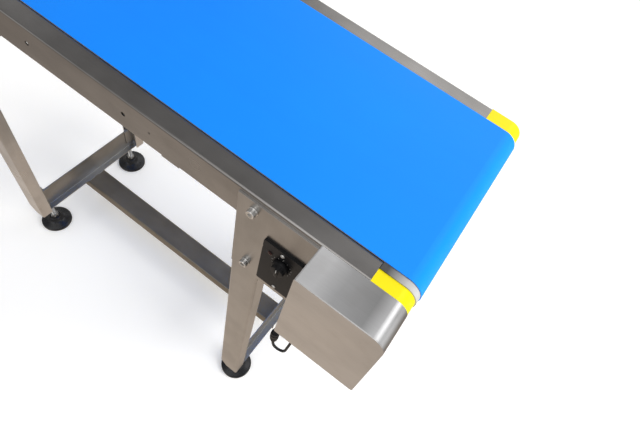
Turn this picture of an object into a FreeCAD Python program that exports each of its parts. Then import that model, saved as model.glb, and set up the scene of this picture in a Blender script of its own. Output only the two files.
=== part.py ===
import FreeCAD, Part
import math
import os

# Belt conveyor section: a folded stainless bed with an endless flat belt, a side drive at
# the head end, a screw take-up at the tail end and a levelling stand.
# Millimetres. +X points to the head (drive) end, -Y is the near side that carries the
# drive and the controls, +Z is up. The origin is on the floor below the middle of the bed.

# Belt and drums
belt_width = 300.0
belt_thickness = 2.0
belt_top_height = 890.0
drum_centres = 1150.0
drum_radius = 23.0
running_gap = 0.3            # belt to drums, bed and rollers
shaft_play = 0.05            # radial play of everything that turns on a shaft
shaft_clearance = 2.0        # radial, where a shaft passes a wall
drum_end_gap = 0.5           # drum end to nose cap

# Bed
frame_side = 30.0            # belt edge to a rail's outer face
rail_height = 60.0
rail_sheet = 2.0
rail_lip = 15.0              # bottom flange, over the web
rail_below_belt = 3.0        # flange top below the belt's top
rail_belt_gap = 0.5          # flange edge to belt edge
rail_end_setback = 34.0      # rail end to drum axis
inside_bend = 1.0
bed_depth = 16.0
bed_drum_gap = 7.0
tie_width = 40.0
tie_height = 24.0
tie_places = (-420.0, -140.0, 140.0, 440.0)
guide_hole_radius = 3.5
guide_hole_places = (-362.0, -187.0, -12.0, 163.0)
guide_hole_drop = 30.0       # below the flange top
earth_hole_radius = 1.6
earth_hole_place = 208.0

# Nose caps
near_cap_width = 19.5
nose_plate_radius = 24.0     # pale plate between the near caps and the belt
nose_plate_gap = 0.5         # plate to belt edge and drum end
far_cap_width = 29.0
cap_tongue_length = 36.0
cap_tongue_width = 13.0
cap_fit = 0.1

# Head shaft and its bearings
head_shaft_radius = 7.5
head_bearing_radius = 17.5
head_bearing_width = 11.0

# Tail axle and take-up
tail_axle_radius = 6.0
tail_bearing_radius = 14.0
tail_bearing_width = 10.0
take_up_travel = 6.0
block_height = 24.0
block_ahead = 17.0           # block length from the axle towards the nose
block_behind = 14.0          # block length from the axle towards the bed
take_up_screw_radius = 3.0
screw_head_radius = 5.0
screw_head_height = 3.0
screw_grip = 9.0             # thread in the block with the belt tight
screw_socket = 5.0           # across flats
screw_seat_depth = 0.5       # screw head let into the nose

# Return rollers
roller_radius = 12.5
roller_axle_radius = 4.0
roller_places = (-430.0, -95.0, 240.0)
roller_end_gap = 3.5
hanger_sheet = 2.5
hanger_width = 30.0
hanger_below_axle = 14.0

# Legs
leg_spacing = 680.0
front_leg_x = 380.0
leg_width = 50.0
leg_depth = 28.0
leg_sheet = 2.5
leg_foot_height = 88.0       # lower end of the legs above the floor
leg_clip = 20.0              # cut corner at the foot
leg_clip_height = 26.0
head_plate_width = 118.0
head_plate_height = 187.0
head_plate_drop = 8.0        # below the flange top
bolt_radius = 4.0
bolt_head_radius = 6.5
bolt_head_height = 8.0
bolt_socket_radius = 3.6
rail_nut_height = 7.0
upper_bolt_drop = 27.0
lower_bolt_drop = 167.0

# Ties between the legs
upper_tie_height = 40.0
upper_tie_depth = 24.0
cross_height = 70.0
cross_flange = 18.0
cross_sheet = 2.5
cross_lift = 12.0            # flange above the legs' lower end
bracket_height = 84.0
bracket_rise = 20.0          # bracket foot above the cross flange
bracket_leaf = 15.0
bracket_wing = 24.0
stretcher_width = 58.0
stretcher_height = 28.0

# Feet
foot_pad_radius = 40.0
foot_pad_rim = 9.0
foot_pad_height = 17.0
foot_hub_radius = 15.0
foot_hub_height = 28.0
spindle_radius = 6.0
spindle_length = 150.0
foot_inset = 36.0            # foot axis inside the rail's outer face
foot_plate_sheet = 5.0
foot_plate_reach = 24.0      # inboard of the spindle's axis
nut_across_flats = 19.0
nut_height = 10.0
spanner_height = 8.0         # hexagon on the spindle, above the pad

# Drive
motor_setback = 40.0         # motor's axis to the head drum's, along the bed
motor_z = 765.0
motor_shaft_radius = 6.0
gearbox_size = 70.0
gearbox_length = 46.0
motor_radius = 34.0
motor_length = 118.0
fan_cover_length = 34.0
drive_teeth = 24
driven_teeth = 20
tooth_pitch = 5.0
pulley_width = 14.0
pulley_flange = 1.2
pulley_offset = 14.0         # pulley's inner face outside the drive plate
pulley_shaft_end = 2.0       # shaft ends past the pulleys
belt_notch_radius = 1.5
gearbox_bore_depth = 30.0
motor_fins = 36
motor_fin_groove = 1.6
fan_slot_radius = 3.0
terminal_box_width = 44.0
terminal_box_offset = -2.0   # its middle from the motor's axis, along the belt
terminal_box_y = (-112.0, -66.0)
terminal_box_z = (709.0, 733.0)
toothed_belt_thickness = 2.4
drive_plate_sheet = 2.5

# Drive cover
cover_setback = 101.0        # cover's rear wall to the head drum's axis
cover_top_length = 122.5
cover_bottom_length = 132.0
cover_height = 180.0
cover_depth = 54.0
cover_sheet = 1.5
cover_nose_radius = 20.0
cover_toe_radius = 4.5
cover_corner_radius = 2.0
cover_screw_radius = 2.0
cover_screw_head = 4.0
cover_lug_sheet = 3.0
cover_lug_half = 8.0

# Control panel, let into the front near head plate
panel_x = 435.0
panel_low_rise = 17.5        # above the head plate's lower edge
panel_width = 62.0
panel_height = 113.8
panel_sheet = 4.0
panel_lap = 4.5              # bezel over the edge of its window
panel_corner = 2.5
panel_fit = 0.4              # housing in its window
housing_depth = 30.0
housing_wall = 2.0
band_height = 17.0           # terminal cover above the main bezel
band_joint = 0.4
knob_x = 437.5
knob_rise = 79.5             # above the panel's lower edge
knob_radius = 13.0
knob_height = 13.0
knob_gap = 0.6
knob_skirt = 5.85
knob_barrel_radius = 10.5
knob_bar_half = 2.6
knob_bar_rise = 2.0
knob_spindle_radius = 3.0
lamp_radius = 2.6
lamp_inset = 13.0            # from the panel's tail edge
lamp_rise = 91.0
lid_screw_radius = 1.8
lid_screw_head = 3.2
lid_screw_inset = 6.5        # lower screw, from the panel's lower edge
lid_screw_grip = 8.0
gland_x = 452.0
gland_depth = 24.5           # its axis behind the head plate's face
gland_radius = 6.0
gland_nut_radius = 8.0
gland_nut_height = 6.0
gland_thread = 4.0           # thread between the housing and the nut's far face

# Motor lead
lead_radius = 2.75
connector_radius = 8.5
motor_gland_radius = 5.75
lead_upper = [(452, -158, 702), (452, -158, 687), (453, -157, 658), (455, -156, 616), (455.5, -157.5, 572),
              (453.83, -160, 520), (455, -160, 486)]
connector_top = (455, -160, 486)
connector_bottom = (457, -160, 428)
lead_lower = [(457, -160, 428), (457.83, -160, 404), (472, -159.5, 395), (487, -158, 404), (488, -157, 434),
              (490, -154, 468), (494, -147, 510), (499, -139, 552), (505, -128, 595), (511, -116, 634),
              (517, -104, 664), (524, -94, 684), (529, -90, 697)]
motor_gland_offset = (-4.0, -1.0, -12.0)   # lead's entry, from the middle of the box's underside
motor_gland_lean = (5.0, 4.0, 13.0)

# Places that follow from the sizes above
belt_outer_radius = drum_radius + running_gap + belt_thickness
drum_z = belt_top_height - belt_outer_radius
head_x = drum_centres / 2
tail_x = -drum_centres / 2
rail_top = belt_top_height - rail_below_belt
rail_bottom = rail_top - rail_height
side_y = belt_width / 2 + frame_side
rail_end = head_x - rail_end_setback
cap_radius = rail_top - drum_z
belt_edge = belt_width / 2
leg_xs = {"front": front_leg_x, "rear": front_leg_x - leg_spacing}
head_plate_top = rail_top - head_plate_drop
head_plate_bottom = head_plate_top - head_plate_height
leg_face = side_y + leg_sheet
upper_bolt_z = rail_top - upper_bolt_drop
lower_bolt_z = rail_top - lower_bolt_drop
cross_z = leg_foot_height + cross_lift
cross_end = leg_face - leg_depth
foot_y = side_y - foot_inset
return_run_z = drum_z - belt_outer_radius
plate_outer_y = -side_y - drive_plate_sheet
pulley_y = plate_outer_y - pulley_offset
motor_x = head_x - motor_setback
cover_rear_x = head_x - cover_setback
cover_front_x = cover_rear_x + cover_top_length
cover_outer_y = -side_y - cover_depth
panel_back_y = -leg_face
panel_face_y = panel_back_y - panel_sheet
panel_low = head_plate_bottom + panel_low_rise
panel_high = panel_low + panel_height
band_low = panel_high - band_height
knob_z = panel_low + knob_rise
housing_x = (panel_x - panel_width / 2 + panel_lap, panel_x + panel_width / 2 - panel_lap)
housing_z = (panel_low + panel_lap, panel_high - panel_lap)
housing_back_y = panel_back_y + housing_depth
gland_y = panel_back_y + gland_depth
terminal_box_x = motor_x + terminal_box_offset
motor_gland_place = (terminal_box_x + motor_gland_offset[0],
                     (terminal_box_y[0] + terminal_box_y[1]) / 2 + motor_gland_offset[1],
                     terminal_box_z[0] + motor_gland_offset[2])


def vector(x, y, z):
    return FreeCAD.Vector(x, y, z)


PLANES = {
    "XY": lambda u, v, w: vector(u, v, w),
    "XZ": lambda u, v, w: vector(u, w, v),
    "YZ": lambda u, v, w: vector(w, u, v),
}
AXES = {"X": vector(1, 0, 0), "Y": vector(0, 1, 0), "Z": vector(0, 0, 1)}


def save(node, *solids):
    """Write one node, as one solid or as a group of separate solids."""
    shape = solids[0] if len(solids) == 1 else Part.makeCompound(list(solids))
    shape.exportStep("parts/" + node + ".step")


def mirrored(shape):
    """The same piece on the other side of the conveyor."""
    return shape.mirror(vector(0, 0, 0), vector(0, 1, 0))


def moved(shape, x=0.0, y=0.0, z=0.0):
    copy = shape.copy()
    copy.translate(vector(x, y, z))
    return copy


def box(x, y, z):
    """A block from three (low, high) pairs."""
    size = [high - low for low, high in (x, y, z)]
    return Part.makeBox(size[0], size[1], size[2], vector(x[0], y[0], z[0]))


def rod(axis, centre, radius, start, end):
    """A cylinder along a row axis; centre is its place in the other two axes, in order."""
    u, v = centre
    base = {"X": vector(start, u, v), "Y": vector(u, start, v), "Z": vector(u, v, start)}[axis]
    return Part.makeCylinder(radius, end - start, base, AXES[axis])


def ring(axis, centre, outer, inner, start, end):
    return rod(axis, centre, outer, start, end).cut(rod(axis, centre, inner, start, end))


def unit(p, q):
    length = math.hypot(q[0] - p[0], q[1] - p[1])
    return (q[0] - p[0]) / length, (q[1] - p[1]) / length


def outline(points, place):
    """A closed wire through (u, v) or (u, v, corner radius) points."""
    edges = []
    last = None
    first = None
    count = len(points)
    for index, point in enumerate(points):
        before = points[index - 1]
        after = points[(index + 1) % count]
        radius = point[2] if len(point) > 2 else 0.0
        into = unit(before, point)
        out = unit(point, after)
        turn = math.acos(max(-1.0, min(1.0, into[0] * out[0] + into[1] * out[1])))
        reach = radius * math.tan(turn / 2)
        start = (point[0] - into[0] * reach, point[1] - into[1] * reach)
        end = (point[0] + out[0] * reach, point[1] + out[1] * reach)
        if last is None:
            first = start
        else:
            edges.append(Part.LineSegment(place(*last), place(*start)).toShape())
        if radius:
            inward = unit((0, 0), (out[0] - into[0], out[1] - into[1]))
            sag = radius / math.cos(turn / 2) - radius
            middle = (point[0] + inward[0] * sag, point[1] + inward[1] * sag)
            edges.append(Part.Arc(place(*start), place(*middle), place(*end)).toShape())
        last = end
    edges.append(Part.LineSegment(place(*last), place(*first)).toShape())
    return Part.Wire(edges)


def prism(points, plane, start, end):
    """An outline in a row plane, extruded along the third axis."""
    put = PLANES[plane]
    wire = outline(points, lambda u, v: put(u, v, start))
    return Part.Face(wire).extrude(put(0, 0, end - start))


def folded(points, sheet, plane, start, end):
    """Folded sheet: points are one face of the section, with the sheet on their left."""
    lines = [unit(p, q) for p, q in zip(points, points[1:])]
    sides = [(-line[1], line[0]) for line in lines]
    face = [points[0]]
    back = [(points[0][0] + sides[0][0] * sheet, points[0][1] + sides[0][1] * sheet)]
    for index in range(1, len(points) - 1):
        a, b = sides[index - 1], sides[index]
        scale = sheet / (1 + a[0] * b[0] + a[1] * b[1])
        turn = lines[index - 1][0] * lines[index][1] - lines[index - 1][1] * lines[index][0]
        near, far = (inside_bend + sheet, inside_bend) if turn > 0 else (inside_bend, inside_bend + sheet)
        u, v = points[index]
        face.append((u, v, near))
        back.append((u + (a[0] + b[0]) * scale, v + (a[1] + b[1]) * scale, far))
    u, v = points[-1]
    face.append((u, v))
    back.append((u + sides[-1][0] * sheet, v + sides[-1][1] * sheet))
    return prism(face + back[::-1], plane, start, end)


def hexagon(axis, centre, across_flats, start, end):
    """A hexagonal prism along X or Z."""
    radius = across_flats / math.sqrt(3)
    corners = []
    for step in range(6):
        angle = math.pi * step / 3
        corners.append((centre[0] + radius * math.cos(angle), centre[1] + radius * math.sin(angle)))
    return prism(corners, {"X": "YZ", "Z": "XY"}[axis], start, end)


def loop_outline(first, second, y):
    """The line round two circles (x, z, radius), in the plane y."""
    (x1, z1, r1), (x2, z2, r2) = first, second
    heading = math.atan2(z2 - z1, x2 - x1)
    spread = math.acos((r1 - r2) / math.hypot(x2 - x1, z2 - z1))

    def at(x, z, radius, angle):
        return vector(x + radius * math.cos(angle), y, z + radius * math.sin(angle))

    a = at(x1, z1, r1, heading + spread)
    b = at(x2, z2, r2, heading + spread)
    c = at(x2, z2, r2, heading - spread)
    d = at(x1, z1, r1, heading - spread)
    return Part.Wire([
        Part.LineSegment(a, b).toShape(),
        Part.Arc(b, at(x2, z2, r2, heading), c).toShape(),
        Part.LineSegment(c, d).toShape(),
        Part.Arc(d, at(x1, z1, r1, heading + math.pi), a).toShape(),
    ])


def endless_belt(first, second, gap, thickness, start, end):
    """A belt that runs round two pulleys (x, z, radius), a gap clear of them."""
    loops = []
    for grow in (gap + thickness, gap):
        circles = [(x, z, radius + grow) for x, z, radius in (first, second)]
        face = Part.Face(loop_outline(circles[0], circles[1], start))
        loops.append(face.extrude(vector(0, end - start, 0)))
    return loops[0].cut(loops[1])


def pitch_radius(teeth):
    return teeth * tooth_pitch / (2 * math.pi)


# ---- belt and bed

def conveyor_belt():
    head = (head_x, drum_z, drum_radius)
    tail = (tail_x, drum_z, drum_radius)
    return endless_belt(tail, head, running_gap, belt_thickness, -belt_edge, belt_edge)


def leg_bolt_cuts(z, y_range, radius):
    return [rod("Y", (x, z), radius, *y_range) for x in leg_xs.values()]


def near_rail():
    flange_edge = -belt_edge - rail_belt_gap
    section = [(flange_edge, rail_top), (-side_y, rail_top), (-side_y, rail_bottom),
               (-side_y + rail_lip, rail_bottom)]
    rail = folded(section, rail_sheet, "YZ", -rail_end, rail_end)
    web = (-side_y - 1, -side_y + rail_sheet + 1)
    holes = [rod("Y", (x, rail_top - guide_hole_drop), guide_hole_radius, *web)
             for x in guide_hole_places]
    holes.append(rod("Y", (earth_hole_place, rail_top - guide_hole_drop), earth_hole_radius, *web))
    return rail.cut(holes + leg_bolt_cuts(upper_bolt_z, web, bolt_radius))


def slider_bed():
    top = belt_top_height - belt_thickness - running_gap
    bottom = top - bed_depth
    edge = belt_edge - rail_belt_gap
    length = head_x - drum_radius - bed_drum_gap
    section = [(edge, bottom), (edge, top), (-edge, top), (-edge, bottom)]
    return folded(section, rail_sheet, "YZ", -length, length)


def bed_ties():
    """Channels across the bed, open downwards, that carry the bed plate."""
    top = belt_top_height - belt_thickness - running_gap - bed_depth
    half = tie_width / 2
    reach = side_y - rail_sheet - cap_fit
    ties = []
    for x in tie_places:
        section = [(x + half, top - tie_height), (x + half, top), (x - half, top),
                   (x - half, top - tie_height)]
        ties.append(folded(section, rail_sheet, "XZ", -reach, reach))
    return ties


# ---- nose caps

def nose_outline(direction, axis_x):
    """D shape of a nose cap, from the rail end round the drum axis."""
    rear = axis_x - direction * rail_end_setback
    tip = axis_x + direction * cap_radius
    low, high = drum_z - cap_radius, drum_z + cap_radius
    return [(rear, low), (rear, high), (tip, high, cap_radius - 0.01), (tip, low, cap_radius - 0.01)]


def nose_cap(direction, axis_x, width, side):
    """Cap block on the rail end, with a tongue that sits inside the rail."""
    y = (-side_y, -side_y + width) if side < 0 else (side_y - width, side_y)
    cap = prism(nose_outline(direction, axis_x), "XZ", *y)
    end = axis_x - direction * rail_end_setback
    tongue_x = sorted((end, end - direction * cap_tongue_length))
    inner = side_y - rail_sheet - cap_fit
    tongue_y = sorted((side * inner, side * (inner - cap_tongue_width)))
    tongue_z = (drum_z - cap_radius + rail_sheet, rail_top - rail_sheet - inside_bend)
    return cap.fuse(box(tongue_x, tongue_y, tongue_z)).removeSplitter()


def head_cap_near():
    cap = nose_cap(1, head_x, near_cap_width, -1)
    inner = -side_y + near_cap_width
    pocket = rod("Y", (head_x, drum_z), head_bearing_radius, inner - head_bearing_width, inner)
    hole = rod("Y", (head_x, drum_z), head_shaft_radius + shaft_clearance, -side_y, inner)
    return cap.cut([pocket, hole])


def head_cap_far():
    cap = nose_cap(1, head_x, far_cap_width, 1)
    inner = side_y - far_cap_width
    pocket = rod("Y", (head_x, drum_z), head_bearing_radius, inner, inner + head_bearing_width)
    relief_end = inner + head_bearing_width + 2 * shaft_clearance
    relief = rod("Y", (head_x, drum_z), head_shaft_radius + shaft_clearance, inner, relief_end)
    return cap.cut([pocket, relief])


def nose_plate(direction, axis_x):
    """Pale D-shaped plate that fills the gap between a near cap and the belt."""
    rear = axis_x - direction * (rail_end_setback - nose_plate_gap)
    tip = axis_x + direction * nose_plate_radius
    low, high = drum_z - nose_plate_radius, drum_z + nose_plate_radius
    round_end = nose_plate_radius - 0.01
    points = [(rear, low), (rear, high), (tip, high, round_end), (tip, low, round_end)]
    return prism(points, "XZ", -side_y + near_cap_width, -belt_edge - nose_plate_gap)


def head_nose_plate():
    plate = nose_plate(1, head_x)
    return plate.cut(rod("Y", (head_x, drum_z), head_shaft_radius + shaft_clearance, -side_y, 0))


def tail_nose_plate():
    """The tail's plate has a slot for the axle's travel."""
    plate = nose_plate(-1, tail_x)
    radius = tail_axle_radius + shaft_clearance
    ends = [rod("Y", (x, drum_z), radius, -side_y, 0) for x in (tail_x, tail_x + take_up_travel)]
    middle = box((tail_x, tail_x + take_up_travel), (-side_y, 0), (drum_z - radius, drum_z + radius))
    return plate.cut(ends + [middle])


def take_up_slot(y):
    """The window in a tail cap that the block slides in."""
    half = block_height / 2 + cap_fit
    x = (tail_x - block_ahead - cap_fit, tail_x + block_behind + take_up_travel + cap_fit)
    return box(x, y, (drum_z - half, drum_z + half))


def tail_cap(side, width):
    cap = nose_cap(-1, tail_x, width, side)
    inner = side * (side_y - width)
    middle = side * (side_y - width / 2)
    slot_y = sorted((inner, side * (side_y - rail_sheet)))
    tip = tail_x - cap_radius
    hole = rod("X", (middle, drum_z), take_up_screw_radius + shaft_play, tip - 1, tail_x)
    seat = rod("X", (middle, drum_z), screw_head_radius + 1, tip - 1, tip + screw_seat_depth + cap_fit)
    return cap.cut([take_up_slot(slot_y), hole, seat])


def take_up_block(side, width):
    """Block that carries the tail axle and is pulled outwards by its screw."""
    half = block_height / 2
    y = sorted((side * (side_y - width + drum_end_gap), side * (side_y - rail_sheet - drum_end_gap)))
    middle = side * (side_y - width / 2)
    block = box((tail_x - block_ahead, tail_x + block_behind), y, (drum_z - half, drum_z + half))
    bore = rod("Y", (tail_x, drum_z), tail_axle_radius, y[0] - 1, y[1] + 1)
    thread = rod("X", (middle, drum_z), take_up_screw_radius + shaft_play,
                 tail_x - block_ahead - 1, tail_x - block_ahead + screw_grip + 1)
    return block.cut([bore, thread])


def take_up_screw(side, width):
    middle = side * (side_y - width / 2)
    seat = tail_x - cap_radius + screw_seat_depth
    shank = rod("X", (middle, drum_z), take_up_screw_radius, seat, tail_x - block_ahead + screw_grip)
    head = rod("X", (middle, drum_z), screw_head_radius, seat - screw_head_height, seat)
    socket = hexagon("X", (middle, drum_z), screw_socket, seat - screw_head_height - 1, seat - 1.2)
    return head.fuse(shank).cut(socket)


# ---- drums and rollers

def drum_span():
    near = -belt_edge
    far = side_y - far_cap_width - drum_end_gap
    return near, far


def head_drum():
    return ring("Y", (head_x, drum_z), drum_radius, head_shaft_radius, *drum_span())


def head_shaft():
    """Through shaft: far bearing, drum, near bearing, then the driven pulley's seat."""
    far = side_y - far_cap_width + head_bearing_width + shaft_clearance
    near = pulley_y - pulley_width - pulley_shaft_end
    return rod("Y", (head_x, drum_z), head_shaft_radius, near, far)


def head_bearings():
    near = -side_y + near_cap_width
    far = side_y - far_cap_width
    inner = head_shaft_radius + shaft_play
    spans = ((near - head_bearing_width, near), (far, far + head_bearing_width))
    return [ring("Y", (head_x, drum_z), head_bearing_radius, inner, *span) for span in spans]


def tail_drum():
    near, far = drum_span()
    drum = ring("Y", (tail_x, drum_z), drum_radius, tail_axle_radius + shaft_clearance, near, far)
    pockets = [rod("Y", (tail_x, drum_z), tail_bearing_radius, near, near + tail_bearing_width),
               rod("Y", (tail_x, drum_z), tail_bearing_radius, far - tail_bearing_width, far)]
    return drum.cut(pockets)


def tail_bearings():
    near, far = drum_span()
    inner = tail_axle_radius + shaft_play
    spans = ((near, near + tail_bearing_width), (far - tail_bearing_width, far))
    return [ring("Y", (tail_x, drum_z), tail_bearing_radius, inner, *span) for span in spans]


def tail_axle():
    end = side_y - rail_sheet - drum_end_gap
    return rod("Y", (tail_x, drum_z), tail_axle_radius, -end, end)


def roller_z():
    return return_run_z - running_gap - roller_radius


def return_roller(x):
    return ring("Y", (x, roller_z()), roller_radius, roller_axle_radius + shaft_play,
                -belt_edge, belt_edge)


def roller_axles():
    end = belt_edge + roller_end_gap + hanger_sheet
    return [rod("Y", (x, roller_z()), roller_axle_radius, -end, end) for x in roller_places]


def roller_hangers():
    """Angle brackets under the rails' lower flanges, one each side of every return roller."""
    inner = -belt_edge - roller_end_gap
    top = return_run_z - running_gap - 1
    low = roller_z() - hanger_below_axle
    seat = rail_bottom - hanger_sheet
    hangers = []
    for x in roller_places:
        span = (x - hanger_width / 2, x + hanger_width / 2)
        leaf = box(span, (inner - hanger_sheet, inner), (low, top))
        shelf = box(span, (-side_y + 1, inner - hanger_sheet), (seat, rail_bottom))
        hole = rod("Y", (x, roller_z()), roller_axle_radius, inner - hanger_sheet, inner + 1)
        hanger = leaf.fuse(shelf).removeSplitter().cut(hole)
        hangers += [hanger, mirrored(hanger)]
    return hangers


# ---- stand

def near_leg(x):
    """Folded leg whose web widens into a head plate that laps the rail."""
    half = leg_width / 2
    low, knee = leg_foot_height, head_plate_bottom
    section = [(x - half, -leg_face + leg_depth), (x - half, -leg_face), (x + half, -leg_face),
               (x + half, -leg_face + leg_depth)]
    post = folded(section, leg_sheet, "XY", low, knee)
    plate = box((x - half, x - half + head_plate_width), (-leg_face, -side_y), (knee, head_plate_top))
    leg = post.fuse(plate).removeSplitter()
    corner = [(x - half - 1, low - 1), (x - half + leg_clip, low - 1), (x - half - 1, low + leg_clip_height)]
    clip = prism(corner, "XZ", -leg_face - 1, -leg_face + leg_depth + 1)
    bolts = [rod("Y", (x, z), bolt_radius, -leg_face - 1, -side_y + 1)
             for z in (upper_bolt_z, lower_bolt_z)]
    return leg.cut([clip] + bolts)


def upper_tie(x):
    """Channel between the legs' head plates, open towards the tail."""
    low, high = lower_bolt_z - upper_tie_height / 2, lower_bolt_z + upper_tie_height / 2
    front = x + upper_tie_depth / 2
    rear = front - upper_tie_depth
    section = [(rear, low), (front, low), (front, high), (rear, high)]
    channel = folded(section, leg_sheet, "XZ", -side_y, side_y)
    inner = (low + leg_sheet, high - leg_sheet)
    end = box((rear, front - leg_sheet), (-side_y, -side_y + bolt_head_height), inner)
    hole = rod("Y", (x, lower_bolt_z), bolt_radius, -side_y - 1, -side_y + bolt_head_height + 1)
    end = end.cut(hole)
    return channel.fuse([end, mirrored(end)]).removeSplitter()


def cap_screw(x, z, grip):
    """Socket-head screw from the near face of a leg towards +Y."""
    head = rod("Y", (x, z), bolt_head_radius, -leg_face - bolt_head_height, -leg_face)
    turns = [math.pi * step / 3 for step in range(6)]
    socket = [(x + bolt_socket_radius * math.cos(a), z + bolt_socket_radius * math.sin(a)) for a in turns]
    top = -leg_face - bolt_head_height
    head = head.cut(prism(socket, "XZ", top - 1, top + bolt_head_height / 2))
    return head.fuse(rod("Y", (x, z), bolt_radius, -leg_face, -side_y + grip))


def leg_bolts():
    """Two screws a leg: the upper one grips the rail, the lower one the upper tie."""
    bolts = []
    for x in leg_xs.values():
        for z, grip in ((upper_bolt_z, rail_sheet + bolt_head_height), (lower_bolt_z, bolt_head_height)):
            bolt = cap_screw(x, z, grip)
            bolts += [bolt, mirrored(bolt)]
    return bolts


def rail_nuts():
    """Flange nuts inside the rails on the upper screws."""
    nuts = []
    seat = -side_y + rail_sheet
    for x in leg_xs.values():
        nut = ring("Y", (x, upper_bolt_z), bolt_head_radius, bolt_radius, seat, seat + rail_nut_height)
        nuts += [nut, mirrored(nut)]
    return nuts


def cross_member(x):
    """Angle between the legs: an upright web and a bottom flange towards the head end."""
    edge = x + leg_width / 2
    web = edge - cross_flange
    section = [(web, cross_z + cross_height), (web, cross_z), (edge, cross_z)]
    return folded(section, cross_sheet, "XZ", -cross_end, cross_end)


def cross_brackets(x):
    """End brackets that hold a cross member's web to the legs' flanges."""
    web = x + leg_width / 2 - cross_flange + cross_sheet
    low = cross_z + bracket_rise
    high = low + bracket_height
    end = -cross_end
    leaf = box((web, web + bracket_leaf), (end, end + cross_sheet), (low, high))
    wing = box((web, web + cross_sheet), (end, end + bracket_wing), (low, cross_z + cross_height))
    bracket = leaf.fuse(wing).removeSplitter()
    return [bracket, mirrored(bracket)]


def foot_plate(x):
    """Plate welded inside the leg's foot, drilled for the spindle."""
    half = leg_width / 2 - leg_sheet - inside_bend
    low = cross_z - foot_plate_sheet
    plate = box((x - half, x + half), (-side_y, -foot_y + foot_plate_reach), (low, cross_z))
    return plate.cut(rod("Z", (x, -foot_y), spindle_radius + shaft_play, low - 1, cross_z + 1))


def stretcher():
    """Channel along the middle, open downwards, under both cross members."""
    half = stretcher_width / 2
    top = cross_z
    low = top - stretcher_height
    start = leg_xs["rear"] + leg_width / 2 - cross_flange
    end = leg_xs["front"] + leg_width / 2
    section = [(half, low), (half, top), (-half, top), (-half, low)]
    return folded(section, leg_sheet, "YZ", start, end)


def foot_pad(x, y):
    """Turned pad: a rim, a cone and a hub."""
    profile = [(0, 0), (foot_pad_radius - 2, 0), (foot_pad_radius, 2, 1.5),
               (foot_pad_radius, foot_pad_rim, 3), (foot_hub_radius + 3, foot_pad_height, 4),
               (foot_hub_radius, foot_hub_height, 2), (0, foot_hub_height)]
    face = Part.Face(outline(profile, lambda u, v: vector(u, 0, v)))
    pad = face.revolve(vector(0, 0, 0), vector(0, 0, 1), 360)
    hole = rod("Z", (0, 0), spindle_radius, foot_pad_rim, foot_hub_height + 1)
    return moved(pad.cut(hole), x, y)


def foot_spindle(x, y):
    """Threaded spindle with a hexagon for the spanner just above the pad."""
    bar = rod("Z", (x, y), spindle_radius, foot_pad_rim, foot_pad_rim + spindle_length)
    flats = hexagon("Z", (x, y), nut_across_flats, foot_hub_height, foot_hub_height + spanner_height)
    return bar.fuse(flats)


def lock_nuts():
    nuts = []
    for x in leg_xs.values():
        for y in (-foot_y, foot_y):
            low = cross_z - foot_plate_sheet - nut_height
            nut = hexagon("Z", (x, y), nut_across_flats, low, low + nut_height)
            nuts.append(nut.cut(rod("Z", (x, y), spindle_radius + shaft_play, low - 1, cross_z)))
    return nuts


# ---- drive

def toothed_pulley(x, z, teeth, bore):
    """Timing pulley with side flanges; its pitch line is the belt's."""
    radius = pitch_radius(teeth)
    inner, outer = pulley_y - pulley_width, pulley_y
    body = rod("Y", (x, z), radius, inner, outer)
    for step in range(teeth):
        angle = 2 * math.pi * step / teeth
        place = (x + radius * math.cos(angle), z + radius * math.sin(angle))
        body = body.cut(rod("Y", place, belt_notch_radius, inner, outer))
    for low in (inner, outer - pulley_flange):
        body = body.fuse(rod("Y", (x, z), radius + running_gap / 2, low, low + pulley_flange))
    return body.removeSplitter().cut(rod("Y", (x, z), bore, inner - 1, outer + 1))


def toothed_belt():
    low = pulley_y - pulley_width + pulley_flange + running_gap
    high = pulley_y - pulley_flange - running_gap
    drive = (motor_x, motor_z, pitch_radius(drive_teeth))
    driven = (head_x, drum_z, pitch_radius(driven_teeth))
    return endless_belt(drive, driven, running_gap, toothed_belt_thickness, low, high)


def cover_outline(inset):
    """Side view of the drive cover: the nose leans out towards the foot."""
    rear = cover_rear_x + inset
    top, low = rail_top - inset, rail_top - cover_height + inset
    lean = inset * (cover_bottom_length - cover_top_length) / cover_height
    return [(rear, low, cover_corner_radius), (rear, top, cover_corner_radius),
            (cover_front_x - inset + lean, top, cover_nose_radius - inset),
            (cover_rear_x + cover_bottom_length - inset - lean, low, cover_toe_radius)]


def drive_plate():
    """Back plate inside the cover: carries the gearbox and closes the rail's end."""
    plate = prism(cover_outline(cover_sheet + running_gap), "XZ", plate_outer_y, -side_y)
    shafts = ((head_x, drum_z, head_shaft_radius), (motor_x, motor_z, motor_shaft_radius))
    holes = [rod("Y", (x, z), radius + 2 * shaft_clearance, plate_outer_y - 1, -side_y + 1)
             for x, z, radius in shafts]
    return plate.fuse(cover_lugs()).removeSplitter().cut(holes)


def cover_band():
    """The cover's wrap: rear wall, top, rounded nose, front and bottom."""
    outer = prism(cover_outline(0), "XZ", cover_outer_y + cover_sheet, -side_y)
    inner = prism(cover_outline(cover_sheet), "XZ", cover_outer_y, -side_y + 1)
    low = rail_top - cover_height
    holes = []
    for axis, u, v in cover_screw_places():
        wall = low if axis == "Z" else cover_rear_x
        holes.append(rod(axis, (u, v), cover_screw_radius, wall - 1, wall + cover_sheet + 1))
    return outer.cut([inner] + holes)


def cover_face():
    return prism(cover_outline(0), "XZ", cover_outer_y, cover_outer_y + cover_sheet)


def cover_screw_places():
    """Two screws through the bottom wall and two through the rear wall."""
    y = (plate_outer_y + cover_outer_y) / 2 + 18
    bottom = [("Z", cover_rear_x + 34, y), ("Z", cover_rear_x + 98, y)]
    rear = [("X", y, rail_top - 36), ("X", y, rail_top - cover_height + 30)]
    return bottom + rear


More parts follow.
